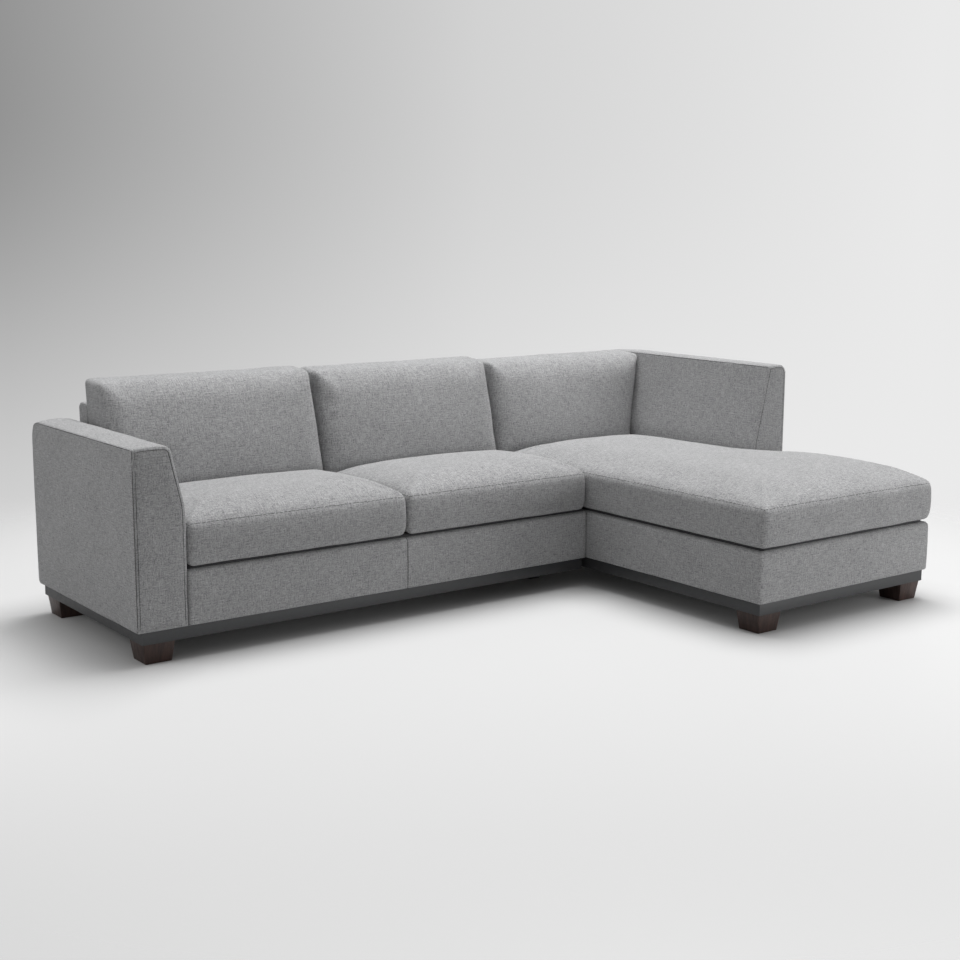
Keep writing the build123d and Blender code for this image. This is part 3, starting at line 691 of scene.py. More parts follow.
@dataclass(frozen=True)
class Plan:
    """A rectangle with rounded corners, and with a corner left out where there is a notch."""

    low: Pair
    high: Pair
    radius: float
    notch: Pair | None = None

    def depth(self, points: np.ndarray) -> np.ndarray:
        """Distance of each point inside the plan's edge."""
        low, high = np.array(self.low), np.array(self.high)
        result = -self.outside(points, (low + high) / 2, (high - low) / 2, self.radius)
        if self.notch:
            far = high + 1.0
            near = np.array(self.notch)
            cut = self.outside(points, (near + far) / 2, (far - near) / 2, 0.0)
            result = np.minimum(result, cut)
        return result

    @staticmethod
    def outside(points: np.ndarray, middle: np.ndarray, half: np.ndarray,
                radius: float) -> np.ndarray:
        """Distance of each point outside a rounded rectangle, negative within."""
        q = np.abs(points - middle) - (half - radius)
        beyond = np.linalg.norm(np.maximum(q, 0), axis=1)
        return beyond + np.minimum(q.max(axis=1), 0) - radius

    def inward(self, points: np.ndarray) -> np.ndarray:
        """Direction away from the nearest edge at each point."""
        steps = np.eye(2) * PROBE
        slope = np.column_stack([self.depth(points + step) - self.depth(points - step)
                                 for step in steps])
        return slope / np.maximum(np.linalg.norm(slope, axis=1), NOT_ZERO)[:, None]

    def round_corners(self, points: np.ndarray, corners: Iterable[Pair]) -> np.ndarray:
        """Pulls the points near square corners in to a round.

        Args:
            points: Rows of two coordinates.
            corners: The corners to round.

        Returns:
            The moved points.
        """
        moved = points.copy()
        middle = (np.array(self.low) + np.array(self.high)) / 2
        for corner in corners:
            inward = np.sign(middle - np.array(corner))
            part = 1.0 - (moved - np.array(corner)) * inward / self.radius
            near = (part >= 0).all(axis=1) & (part <= 1.0 + TINY).all(axis=1)
            p, q = part[near, 0], part[near, 1]
            disc = np.column_stack([p * np.sqrt(1 - q * q / 2), q * np.sqrt(1 - p * p / 2)])
            moved[near] = np.array(corner) + inward * self.radius * (1.0 - disc)
        return moved


def roll_edge(plan: Plan, points: np.ndarray, height: np.ndarray, radius: float | np.ndarray,
              ) -> tuple[np.ndarray, np.ndarray]:
    """Rounds the edge between a skin's sides and its flat face.

    Args:
        plan: Outline that the sides follow.
        points: Places in the plan.
        height: Distance of each point from the flat face.
        radius: Radius of the roll.

    Returns:
        The moved places and distances.
    """
    depth = np.maximum(plan.depth(points), 0.0)
    p = np.clip(1.0 - depth / radius, 0.0, 1.0)
    q = np.clip(1.0 - height / radius, 0.0, 1.0)
    near = (p > 0) & (q > 0)
    shift = np.where(near, radius * (1.0 - p * np.sqrt(1 - q * q / 2)) - depth, 0.0)
    lift = np.where(near, radius * (1.0 - q * np.sqrt(1 - p * p / 2)) - height, 0.0)
    return points + plan.inward(points) * shift[:, None], height + lift


def relax(points: np.ndarray, faces: Sequence[Sequence[int]], loose: np.ndarray,
          rounds: int) -> np.ndarray:
    """Evens out a skin by drawing each point towards its neighbours.

    Args:
        points: Rows of three coordinates.
        faces: Quads of the skin.
        loose: True for each point that may move.
        rounds: Number of passes.

    Returns:
        The moved points.
    """
    corners = np.array(faces)
    edges = np.column_stack([corners.T.ravel(), np.roll(corners, -1, axis=1).T.ravel()])
    count = np.bincount(edges[:, 0], minlength=len(points))[:, None]
    for _ in range(rounds):
        total = np.zeros_like(points)
        np.add.at(total, edges[:, 0], points[edges[:, 1]])
        points = np.where(loose[:, None], (points + total / count) / 2, points)
    return points


@dataclass(frozen=True)
class Stuffing:
    """How a cushion's cloth is blown up by its filling."""

    pressure: float = 4.0
    cap: float = 0.022
    frames: int = 20
    quality: int = 4
    mass: float = 0.3
    stiffness: float = 20.0
    bending: float = 1.5

    def inflate(self, piece: Piece, held: np.ndarray) -> np.ndarray:
        """Runs cloth with pressure inside and no gravity.

        Args:
            piece: A closed coarse skin.
            held: True for each vertex that stays in place.

        Returns:
            The moved points, each held within the cap.
        """
        base = vertex_array(piece.data)
        pins = piece.vertex_groups.new(name="held")
        pins.add(np.flatnonzero(held).tolist(), 1.0, "REPLACE")
        cloth = piece.modifiers.new("stuffing", "CLOTH")
        settings = cloth.settings
        settings.quality = self.quality
        settings.mass = self.mass
        settings.tension_stiffness = settings.compression_stiffness = self.stiffness
        settings.shear_stiffness = self.stiffness / 2
        settings.bending_stiffness = self.bending
        settings.use_pressure = True
        settings.uniform_pressure_force = self.pressure
        settings.vertex_group_mass = "held"
        settings.effector_weights.gravity = 0.0
        cloth.collision_settings.use_collision = False
        cloth.point_cache.frame_end = self.frames
        scene = bpy.context.scene
        for step in range(1, self.frames + 1):
            scene.frame_set(step)
        graph = bpy.context.evaluated_depsgraph_get()
        blown = vertex_array(piece.evaluated_get(graph).data)
        piece.modifiers.clear()
        piece.vertex_groups.clear()
        scene.frame_set(1)
        move = blown - base
        size = np.maximum(np.linalg.norm(move, axis=1), NOT_ZERO)[:, None]
        LOG.info("%s: cloth moved up to %.1f mm", piece.name, size.max() * 1000)
        return base + move / size * self.cap * np.tanh(size / self.cap)


# ---------------------------------------------------------------- seams


class SeamBook:
    """Collects the seams of each body and sews them with thread over a dark tube of painted seam
    shade.
    """

    sizes = {"Stitch spacing": 0.0062, "Stitch length": 0.0044, "Thread radius": 0.0006,
             "Seam radius": 0.0010}
    seed = 7
    stitch_scale = (0.82, 1.12)
    thread_sides = 5
    seam_sides = 6

    def __init__(self) -> None:
        """Starts with no seams."""
        self.lines: dict[Body, list[np.ndarray]] = {body: [] for body in Body}
        self.tree = self.stitch_tree()

    def add(self, body: Body, line: np.ndarray) -> None:
        """Notes one seam, as points along it."""
        self.lines[body].append(np.asarray(line))

    def stitch_tree(self) -> bpy.types.NodeTree:
        """Builds the Geometry Nodes tree that sews stitches along each line over a thin dark tube
        of painted seam shade.

        Returns:
            The tree, with named inputs for its sizes.
        """
        tree = bpy.data.node_groups.new("seam_stitches", "GeometryNodeTree")
        shape, material = "NodeSocketGeometry", "NodeSocketMaterial"
        inputs = {"Lines": shape} | dict.fromkeys(self.sizes, VALUE) | {"Seed": "NodeSocketInt"}
        for label, kind in (inputs | {"Thread": material, "Seam": material}).items():
            tree.interface.new_socket(label, in_out="INPUT", socket_type=kind)
        tree.interface.new_socket("Sewn", in_out="OUTPUT", socket_type=shape)
        s = NodeSheet(tree)
        given = s.add("NodeGroupInput").outputs
        curve = s.add("GeometryNodeMeshToCurve", {0: given["Lines"]}).outputs[0]
        spaced = {"Curve": curve, "Length": given["Stitch spacing"]}
        even = s.add("GeometryNodeResampleCurve", spaced, mode="LENGTH").outputs[0]
        spun = {"Vertices": self.thread_sides, "Radius": given["Thread radius"],
                "Depth": given["Stitch length"]}
        thread = s.add("GeometryNodeMeshCylinder", spun).outputs[0]
        tangent = s.add("GeometryNodeInputTangent").outputs[0]
        turn = s.add("FunctionNodeAlignRotationToVector", {"Vector": tangent}, axis="Z").outputs[0]
        drawn = {"Seed": given["Seed"], 2: self.stitch_scale[0], 3: self.stitch_scale[1]}
        vary = s.add("FunctionNodeRandomValue", drawn).outputs[1]
        placed = {"Points": even, "Instance": thread, "Rotation": turn, "Scale": vary}
        stitches = s.add("GeometryNodeInstanceOnPoints", placed).outputs[0]
        stitches = s.add("GeometryNodeRealizeInstances", {0: stitches}).outputs[0]
        # The tube round each line carries the painted seam shade, a dark strip where the groove's
        # shade falls.
        circle = {"Resolution": self.seam_sides, "Radius": given["Seam radius"]}
        profile = s.add("GeometryNodeCurvePrimitiveCircle", circle).outputs[0]
        groove = s.add("GeometryNodeCurveToMesh", {0: curve, 1: profile}).outputs[0]
        joined = s.add("GeometryNodeJoinGeometry")
        for part, finish in ((stitches, "Thread"), (groove, "Seam")):
            dressed = s.add("GeometryNodeSetMaterial", {0: part, "Material": given[finish]})
            tree.links.new(dressed.outputs[0], joined.inputs[0])
        s.add("NodeGroupOutput", {0: joined.outputs[0]})
        return tree

    def sew(self, body: Body) -> None:
        """Makes one mesh of all the seams on a body: stitches and their tube of painted seam
        shade.
        """
        lines = self.lines[body]
        if not lines:
            return
        name = f"{body.value}_seams"
        mesh = bpy.data.meshes.new(name)
        edges, start = [], 0
        for line in lines:
            edges += [(start + n, start + n + 1) for n in range(len(line) - 1)]
            start += len(line)
        mesh.from_pydata(np.concatenate(lines).tolist(), edges, [])
        piece = linked(name, mesh)
        modifier = piece.modifiers.new("sew", "NODES")
        modifier.node_group = self.tree
        values = self.sizes | {"Seed": self.seed, "Thread": SHADED_THREAD_MATERIAL, "Seam": SEAM_SHADE_MATERIAL}
        for item in self.tree.interface.items_tree:
            if item.in_out == "INPUT" and item.name in values:
                modifier[item.identifier] = values[item.name]
        settle(piece)
        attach(piece, body.value)
        LOG.info("%s: %d faces", name, len(piece.data.polygons))


SEAMS = SeamBook()


# ---------------------------------------------------------------- cushions


def divided(low: Vector, high: Vector, notch: Pair | None, cell: float,
            ) -> tuple[np.ndarray, np.ndarray, np.ndarray]:
    """Divides a plan into cells and leaves out those in its notch.

    Args:
        low: Lowest corner of the plan.
        high: Highest corner of the plan.
        notch: Near corner of the notch at the rear right, if there is one.
        cell: Largest side of a cell.

    Returns:
        Positions across, positions from front to rear, and True for each cell that is kept.
    """
    middle = notch or ((), ())
    xs, ys = (stations(np.hstack([low[n], middle[n], high[n]]), cell) for n in range(2))
    cells = np.ones((len(xs) - 1, len(ys) - 1), dtype=bool)
    if notch:
        right, rear = ((line[:-1] + line[1:]) / 2 > notch[n] for n, line in enumerate((xs, ys)))
        cells[np.ix_(right, rear)] = False
    return xs, ys, cells


@dataclass
class SeatCushion:
    """A boxed seat cushion: rolled bottom edge, seam round the top and a crowned panel."""

    body: Body
    node: str
    notch: Pair | None = None
    cell: float = 0.0155
    crown: float = 0.0455
    fullness: float = 0.30
    brim: float = 0.08
    brim_share: float = 0.80
    brim_fade: Pair = (0.30, 0.75)
    corner: float = 0.024
    bottom_roll: float = 0.028
    boxing_bulge: float = 0.005
    seam_pinch: float = 0.0022
    on_edge: float = 1e-4
    side_room: float = 0.0008
    overhang: Pair = (0.0, 0.002)
    lip: float = 0.008
    lip_reach: float = 0.030
    lip_sides: bool = False
    fill: float = 0.85
    stuffing: Stuffing = Stuffing()
    ruffle: Ruffle = Ruffle()

    def build(self) -> None:
        """Models the cushion, blows it up, sews it and dresses it."""
        low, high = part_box(self.node)
        high.x += self.overhang[0]
        low.y -= self.overhang[1]
        xs, ys, cells = divided(low, high, self.notch, self.cell)
        zs = stations([low.z, SEAM_HEIGHT], self.cell)
        skin = Lattice(cells, len(zs) - 1)
        points = self.form(skin, xs, ys, zs, low, high)
        piece = new_piece(self.body.value, points, skin.faces)
        ring = skin.ring(skin.layers)
        held = skin.keys[:, 2] == 0
        held[ring] = True
        blown = self.stuffing.inflate(piece, held)
        blown[:, 0] = np.clip(blown[:, 0], low.x - self.side_room, high.x + self.side_room)
        blown[:, 1] = np.minimum(blown[:, 1], high.y + self.side_room)
        if self.notch:
            self.clear_notch(blown)
        set_points(piece.data, blown)
        subdivide(piece)
        ring += ring[:1]
        self.ruffle.apply(piece.data, [vertex_array(piece.data)[ring]])
        SEAMS.add(self.body, vertex_array(piece.data)[ring])
        dress(piece, Slot.UPHOLSTERY, self.body, [self.node])

    def form(self, skin: Lattice, xs: np.ndarray, ys: np.ndarray, zs: np.ndarray,
             low: Vector, high: Vector) -> np.ndarray:
        """Shapes the coarse skin before it is blown up.

        Args:
            skin: The lattice of the cushion.
            xs: Lattice positions across.
            ys: Lattice positions from front to rear.
            zs: Lattice heights from bottom to seam.
            low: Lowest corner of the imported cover.
            high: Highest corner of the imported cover.

        Returns:
            One row for each vertex.
        """
        keys = skin.keys
        flat = np.column_stack([xs[keys[:, 0]], ys[keys[:, 1]]])
        height = zs[keys[:, 2]]
        plan = Plan((low.x, low.y), (high.x, high.y), self.corner, self.notch)
        corners = [(low.x, low.y), (high.x, low.y)]
        flat = plan.round_corners(flat, corners)
        flat, lifted = roll_edge(plan, flat, height - low.z, self.bottom_roll)
        height = low.z + lifted
        boxing = np.clip((height - low.z) / (SEAM_HEIGHT - low.z), 0, 1)
        on_side = plan.depth(flat) < self.on_edge
        bulge = np.where(on_side, self.boxing_bulge * np.sin(math.pi * boxing), 0.0)
        flat = flat - plan.inward(flat) * bulge[:, None]
        over = flat[:, 1] - low.y
        if self.lip_sides:
            over = np.minimum(over, np.minimum(flat[:, 0] - low.x, high.x - flat[:, 0]))
        height = height - self.lip * np.clip(1 - over / self.lip_reach, 0, 1) * (1 - boxing) ** 2
        top = keys[:, 2] == skin.layers
        swell = skin.membrane() ** self.fullness
        brim = 1 - (1 - np.clip(plan.depth(flat) / self.brim, 0, 1)) ** 2
        back = (flat[:, 1] - low.y) / (high.y - low.y)
        fade = np.interp(back, self.brim_fade, (1.0, 0.0))
        swell += (1 - swell) * self.brim_share * brim * fade
        height = height + np.where(top, self.crown * swell, 0.0)
        ring = skin.ring(skin.layers)
        flat[ring] += plan.inward(flat[ring]) * self.seam_pinch
        return np.column_stack([flat, height])

    def clear_notch(self, points: np.ndarray) -> None:
        """Keeps the points out of the corner that the return fills."""
        over_x = points[:, 0] - self.notch[0] - self.side_room
        over_y = points[:, 1] - self.notch[1] - self.side_room
        inside = (over_x > 0) & (over_y > 0)
        by_x = over_x < over_y
        points[:, 0] -= np.where(inside & by_x, over_x, 0.0)
        points[:, 1] -= np.where(inside & ~by_x, over_y, 0.0)


@dataclass
class BackCushion:
    """A loose back cushion: upright behind the seat, leaning above it, rounded all round."""

    body: Body
    node: str
    return_side: bool = False
    cell: float = 0.0165
    thickness: float = 0.15
    lean: float = 0.2466
    bow: float = 0.40
    lean_height: float = 0.397
    back_top: float = 0.7925
    back_height: float = 0.745
    back_gap: float = 0.0005
    corner: float = 0.026
    left_roll: float = 0.017
    right_roll: float = 0.017
    top_roll: float = 0.030
    rear_roll: float = 0.030
    crown: float = 0.015
    fullness: float = 0.95
    top_gap: float = 0.004
    top_room: float = 0.010
    rise: float = 0.0
    swing: float = 0.0
    swing_end: float = 1.1
    flare: float = 0.0
    room: float = 0.0008
    side_room: float = 0.0008
    held_below: float = 0.03
    clear_above: float = 0.02
    relax_rounds: int = 3
    fill: float = 0.75
    stuffing: Stuffing = Stuffing(cap=0.012)
    ruffle: Ruffle = Ruffle(swell=0.0024, pucker=0.0014)

    def front(self, z: np.ndarray, foot: float) -> np.ndarray:
        """Front of the cushion at each height, before its crown: it leans more towards the top."""
        rise = np.maximum(z - SEAM_HEIGHT, 0.0)
        return foot + self.lean * rise * (1.0 - self.bow + self.bow * rise / self.lean_height)

    def forward(self, x: np.ndarray, z: np.ndarray, ends: Pair, top: float) -> np.ndarray:
        """Share of the swing: none at the left end and the seat, all at the upper right."""
        across = np.clip((x - ends[0]) / (ends[1] - ends[0]), 0.0, self.swing_end)
        return across ** 2 * np.clip((z - SEAM_HEIGHT) / (top - SEAM_HEIGHT), 0.0, 1.0)

    def left(self, z: np.ndarray, foot: float, top: float) -> np.ndarray:
        """Left side of the cushion at each height."""
        return foot - self.flare * np.clip((z - KNEE) / (top - KNEE), 0.0, 1.0)

    def rear(self, z: np.ndarray) -> np.ndarray:
        """Rear of the cushion at each height."""
        return self.back_top - (self.back_height - z) * BACK_LEAN - self.back_gap

    def right(self, z: np.ndarray, foot: float) -> np.ndarray:
        """Right side of the cushion at each height."""
        return foot + np.maximum(z - KNEE, 0.0) * (SIDE_LEAN if self.return_side else 0.0)

    def front_rolls(self, plan: Plan, flat: np.ndarray) -> np.ndarray:
        """Radius of the front's edge at each point: tight at the sides, full along the top."""
        inward = plan.inward(flat)[:, 0]
        side = np.where(inward < 0, self.right_roll, self.left_roll)
        return side * inward ** 2 + self.top_roll * (1 - inward ** 2)

    def build(self) -> None:
        """Models the cushion, blows it up and dresses it."""
        low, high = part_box(self.node)
        top = high.z - self.top_gap + self.rise
        foot = high.x - (max(0.0, top - KNEE) * SIDE_LEAN if self.return_side else 0.0)
        xs, zs = stations([low.x, foot], self.cell), stations([low.z, top], self.cell)
        layers = math.ceil(self.thickness / self.cell)
        skin = Lattice(np.ones((len(xs) - 1, len(zs) - 1), dtype=bool), layers)
        keys = skin.keys
        flat = np.column_stack([xs[keys[:, 0]], zs[keys[:, 1]]])
        depth = keys[:, 2] / layers * self.thickness
        plan = Plan((low.x, low.z), (foot, top), self.corner)
        flat = plan.round_corners(flat, [(x, z) for z in (low.z, top) for x in (low.x, foot)])
        flat, near = roll_edge(plan, flat, self.thickness - depth, self.front_rolls(plan, flat))
        flat, depth = roll_edge(plan, flat, self.thickness - near, self.rear_roll)
        front = keys[:, 2] == layers
        depth = depth + np.where(front, self.crown * skin.membrane() ** self.fullness, 0.0)
        z = flat[:, 1]
        left = self.left(z, low.x, top)
        x = left + (flat[:, 0] - low.x) * (self.right(z, foot) - left) / (foot - low.x)
        front_y = self.front(z, low.y) - self.swing * self.forward(x, z, (low.x, foot), top)
        y = self.rear(z) - depth * (self.rear(z) - front_y) / self.thickness
        piece = new_piece(self.body.value, np.column_stack([x, y, z]), skin.faces)
        held = (keys[:, 2] == 0) | (z < SEAM_HEIGHT - self.held_below)
        points = self.stuffing.inflate(piece, held)
        x, y, z = points.T
        left = self.left(z, low.x, top) - self.room
        x[:] = np.clip(x, left, self.right(z, foot) + self.side_room)
        y[:] = np.minimum(y, self.rear(z))
        behind = z < SEAM_HEIGHT + self.clear_above
        y[behind] = np.maximum(y[behind], low.y - self.room)
        z[:] = np.minimum(z, top + self.top_room)
        pressed = (keys[:, 0] == len(xs) - 1) & self.return_side
        loose = (keys[:, 2] > 0) & ~pressed
        set_points(piece.data, relax(points, skin.faces, loose, self.relax_rounds))
        subdivide(piece)
        self.ruffle.apply(piece.data, [])
        dress(piece, Slot.UPHOLSTERY, self.body, [self.node])


# ---------------------------------------------------------------- tight upholstery


def loft(rings: Sequence[np.ndarray]) -> tuple[np.ndarray, list[tuple[int, ...]]]:
    """Skins a row of rings with the same number of points and closes both ends.

    Args:
        rings: Closed rings, each with rows of three coordinates.

    Returns:
        The points and the faces.
    """
    count = len(rings[0])
    faces = [tuple(range(count)), tuple(range(count * (len(rings) - 1), count * len(rings)))]
    for n in range(len(rings) - 1):
        a, b = n * count, (n + 1) * count
        faces += [(a + i, a + (i + 1) % count, b + (i + 1) % count, b + i) for i in range(count)]
    return np.concatenate(rings), faces


def end_rounds(edge: float, steps: int = ROUND_STEPS) -> list[Pair]:
    """Distance from an end and inset of the rings that round its edge, from the end inwards."""
    angles = np.linspace(math.pi / 2, 0, steps + 1)
    return [(edge * (1 - math.sin(a)), edge * (1 - math.cos(a))) for a in angles]


def cover(piece: Piece, body: Body, nodes: Sequence[str], seams: Sequence[np.ndarray],
          ruffle: Ruffle) -> None:
    """Puckers a tight cover along its seams, notes the seams and dresses it.

    Args:
        piece: The cover's mesh object.
        body: Body that it moves with.
        nodes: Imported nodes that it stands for.
        seams: Lines of the seams on it.
        ruffle: The small moves of its cloth.
    """
    ruffle.apply(piece.data, seams)
    for seam in seams:
        SEAMS.add(body, seam)
    dress(piece, Slot.UPHOLSTERY, body, nodes)


def slanted(normals: np.ndarray, slant: float) -> int:
    """Number of the upper point whose outward direction has about this slant."""
    return int(np.argmin(np.abs(normals[:, 0] - slant) + (normals[:, 1] < 0)))


@dataclass
class SidePanel:
    """The arm or the return: upright outside, leaning inside, a flat top and an end panel."""

    body: Body
    node: str
    name: str
    mirrored: bool = False
    knee_radius: float = 0.240
    inner_roll: float = 0.025
    outer_roll: float = 0.007
    edge: float = 0.008
    rear_edge: float = 0.020
    rear_roll: float = 0.072
    foot_roll: float = 0.032
    top_crown: float = 0.010
    crown_end: float = 1.05
    crown_fall: float = 0.15
    crown_shares: Pair = (0.45, 0.55)
    crown_from: float = 0.9
    side_slant: float = 0.7
    proud: float = 0.009
    swell: float = 0.005
    seam_inset: float = 0.0035
    twin_inset: float = 0.0025
    top_seams: tuple[float, ...] = (-0.92,)
    under_slant: float = -0.5
    outer_slant: float = -0.95
    seam_stop: float = 1.5
    groove: float = 0.0008
    groove_reach: float = 0.003
    end_swell: float = 0.0030
    lip_share: float = 0.2
    end_ramp: float = 0.02
    end_insets: tuple[float, ...] = (0.044, 0.034, 0.026)
    rear_insets: tuple[float, ...] = (0.03, 0.044)
    rear_steps: int = 8
    step: float = 0.013
    seam_step: float = 0.02
    ruffle: Ruffle = Ruffle(pinch=0.0, pucker=0.0006, swell=0.0010)

    def build(self) -> None:
        """Models the panel, sews it and dresses it."""
        low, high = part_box(self.node)
        low.x -= 0.0 if self.mirrored else self.proud
        high.x += self.proud if self.mirrored else 0.0
        high.y += self.proud
        top = high.z - self.top_crown / 2
        width = high.x - low.x
        slim = width - (top - KNEE) * SIDE_LEAN
        corners = [(0, low.z), (width, low.z), (width, KNEE), (slim, top), (0, top)]
        radii = [self.edge, 0.0, self.knee_radius, self.inner_roll, self.outer_roll]
        self.face = Outline(corners, radii, self.step)
        self.normal = self.face.normals()
        self.low, self.high, self.top = low, high, top
        points, faces = loft(self.rings())
        piece = new_piece(self.name, self.turned(points), faces)
        cover(piece, self.body, [self.node], self.seams(), self.ruffle)

    def ring(self, y: float, inset: float) -> np.ndarray:
        """One ring of the loft, with the top's crown, the sides' swell and the rear roll."""
        flat = self.face.points(inset)
        run = (y - self.low.y) / (self.high.y - self.low.y)
        arch = math.sin(math.pi * min(max(run, 0.0), 1.0))
        up = np.clip((flat[:, 1] - self.low.z) / (self.top - self.low.z), 0, 1)
        out = self.swell * arch * np.sin(math.pi * up)
        out = np.where(np.abs(self.normal[:, 0]) > self.side_slant, out, 0.0)
        flat = flat + self.normal * out[:, None]
        high = up > self.crown_from
        on_top = np.maximum(self.normal[:, 1], 0.0) * high
        slim = flat[high, 0].max()
        hump = np.sin(math.pi * np.clip(flat[:, 0] / slim, 0, 1))
        kept = min(max((self.crown_end - run) / self.crown_fall, 0.0), 1.0)
        share = self.crown_shares[0] + self.crown_shares[1] * run
        flat[:, 1] += on_top * hump * self.top_crown * share * kept
        rows = np.column_stack([self.low.x + flat[:, 0], np.full(len(flat), y), flat[:, 1]])
        gap = self.high.y - y
        ends = ((self.rear_roll, self.top - rows[:, 2], -1.0),
                (self.foot_roll, rows[:, 2] - self.low.z, 1.0))
        for radius, depth, way in ends:
            q = max(1.0 - gap / radius, 0.0)
            p = np.clip(1.0 - depth / radius, 0.0, 1.0)
            rows[:, 2] += way * radius * p * (1.0 - math.sqrt(1.0 - q * q / 2))
            rows[:, 1] -= radius * q * (1.0 - np.sqrt(1.0 - p * p / 2))
        return rows

    def rings(self) -> list[np.ndarray]:
        """All rings from the end panel to the rear."""
        y0, y1 = self.low.y, self.high.y
        seam = self.edge + self.seam_inset
        insets = [*self.end_insets, seam + 2 * self.groove_reach, seam + self.groove_reach]
        swells = [self.end_swell * min(1.0, (inset - seam) / self.end_ramp) for inset in insets]
        places = [(y0 - swell, inset) for swell, inset in zip(swells, insets)]
        lip = self.end_swell * self.lip_share
        places += [(y0 + self.groove, seam), (y0 - lip, seam - self.groove_reach)]
        places += [(y0 + gap, inset) for gap, inset in end_rounds(self.edge)]
        turn = y1 - self.rear_roll
        run = [*stations([y0 + self.edge, turn], self.step)[1:],
               *np.linspace(turn, y1 - self.rear_edge, self.rear_steps)[1:]]
        places += [(y, 0.0) for y in run]
        places += [(y1 - gap, inset) for gap, inset in end_rounds(self.rear_edge)[-2::-1]]
        places += [(y1, inset) for inset in self.rear_insets]
        return [self.ring(y, inset) for y, inset in places]

    def turned(self, rows: np.ndarray) -> np.ndarray:
        """Mirrors points for the return."""
        if self.mirrored:
            rows = rows.copy()
            rows[:, 0] = self.low.x + self.high.x - rows[:, 0]
        return rows

    def seams(self) -> list[np.ndarray]:
        """Lines of the seams: round the end panel, twin beside its outer edge, along the top."""
        y0, y1 = self.low.y, self.high.y
        front = self.ring(y0 + self.groove, self.edge + self.seam_inset)
        keep = np.flatnonzero(self.normal[:, 1] > self.under_slant)
        breaks = np.flatnonzero(np.diff(keep) > 1)
        lines = [front[np.roll(keep, -(breaks[0] + 1) if len(breaks) else 0)]]
        turn = 1.0 - self.twin_inset / self.edge
        twin = self.ring(y0 + self.edge * (1.0 - math.sqrt(1.0 - turn * turn)), self.twin_inset)
        lines.append(twin[self.normal[:, 0] < self.outer_slant])
        stop = y1 - self.seam_stop * self.rear_edge
        run = stations([y0 + self.edge, stop], self.seam_step)
        rows = np.array([self.ring(y, 0.0) for y in run])
        lines += [rows[:, slanted(self.normal, slant)] for slant in self.top_seams]
        return [self.turned(line) for line in lines]


@dataclass
class BackPanel:
    """A fixed back: leaning front, upright rear that runs down to the plinth."""

    body: Body
    node: str
    name: str
    return_side: bool = False
    deck: float = 0.287
    top_thickness: float = 0.070
    roll: float = 0.024
    skirt: float = 0.020
    edge: float = 0.007
    step: float = 0.016
    seam_slant: float = 0.8
    rear_slant: float = 0.75
    ruffle: Ruffle = Ruffle(pinch=0.0005, pucker=0.0006, swell=0.0012)

    def build(self) -> None:
        """Models the panel, sews it and dresses it."""
        low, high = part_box(self.node)
        front = high.y - self.top_thickness
        foot = front - (high.z - self.deck) * BACK_LEAN
        inner = high.y - self.skirt
        corners = [(front, high.z), (foot, self.deck), (inner, self.deck), (inner, low.z),
                   (high.y, low.z), (high.y, high.z)]
        outline = Outline(corners, [self.roll, 0.0, 0.0, 0.0, self.edge / 2, self.roll], self.step)
        lean = SIDE_LEAN if self.return_side else 0.0
        x0, x1 = low.x, high.x - (high.z - KNEE) * lean
        rounds = end_rounds(self.edge)
        places = [(x0 + gap, inset) for gap, inset in rounds]
        places += [(x, 0.0) for x in stations([x0 + self.edge, x1 - self.edge], self.step)[1:]]
        places += [(x1 - gap, inset) for gap, inset in rounds[-2::-1]]
        rings = []
        for x, inset in places:
            flat = outline.points(inset)
            rise = np.maximum(flat[:, 1] - KNEE, 0.0) * lean
            rings.append(np.column_stack([x + rise * (x - x0) / (x1 - x0), flat]))
        points, faces = loft(rings)
        seams = self.seams(rings, outline.normals())
        cover(new_piece(self.name, points, faces), self.body, [self.node], seams, self.ruffle)

    def seams(self, rings: list[np.ndarray], normal: np.ndarray) -> list[np.ndarray]:
        """Seams of the outside back: along its top edge and down both ends."""
        shown = np.array(rings[ROUND_STEPS:-ROUND_STEPS])
        lines = [shown[:, slanted(normal, self.seam_slant)]]
        rear = normal[:, 0] > self.rear_slant
        for ring in (shown[0], shown[-1]):
            column = ring[rear]
            lines.append(column[np.argsort(column[:, 2])])
        return lines


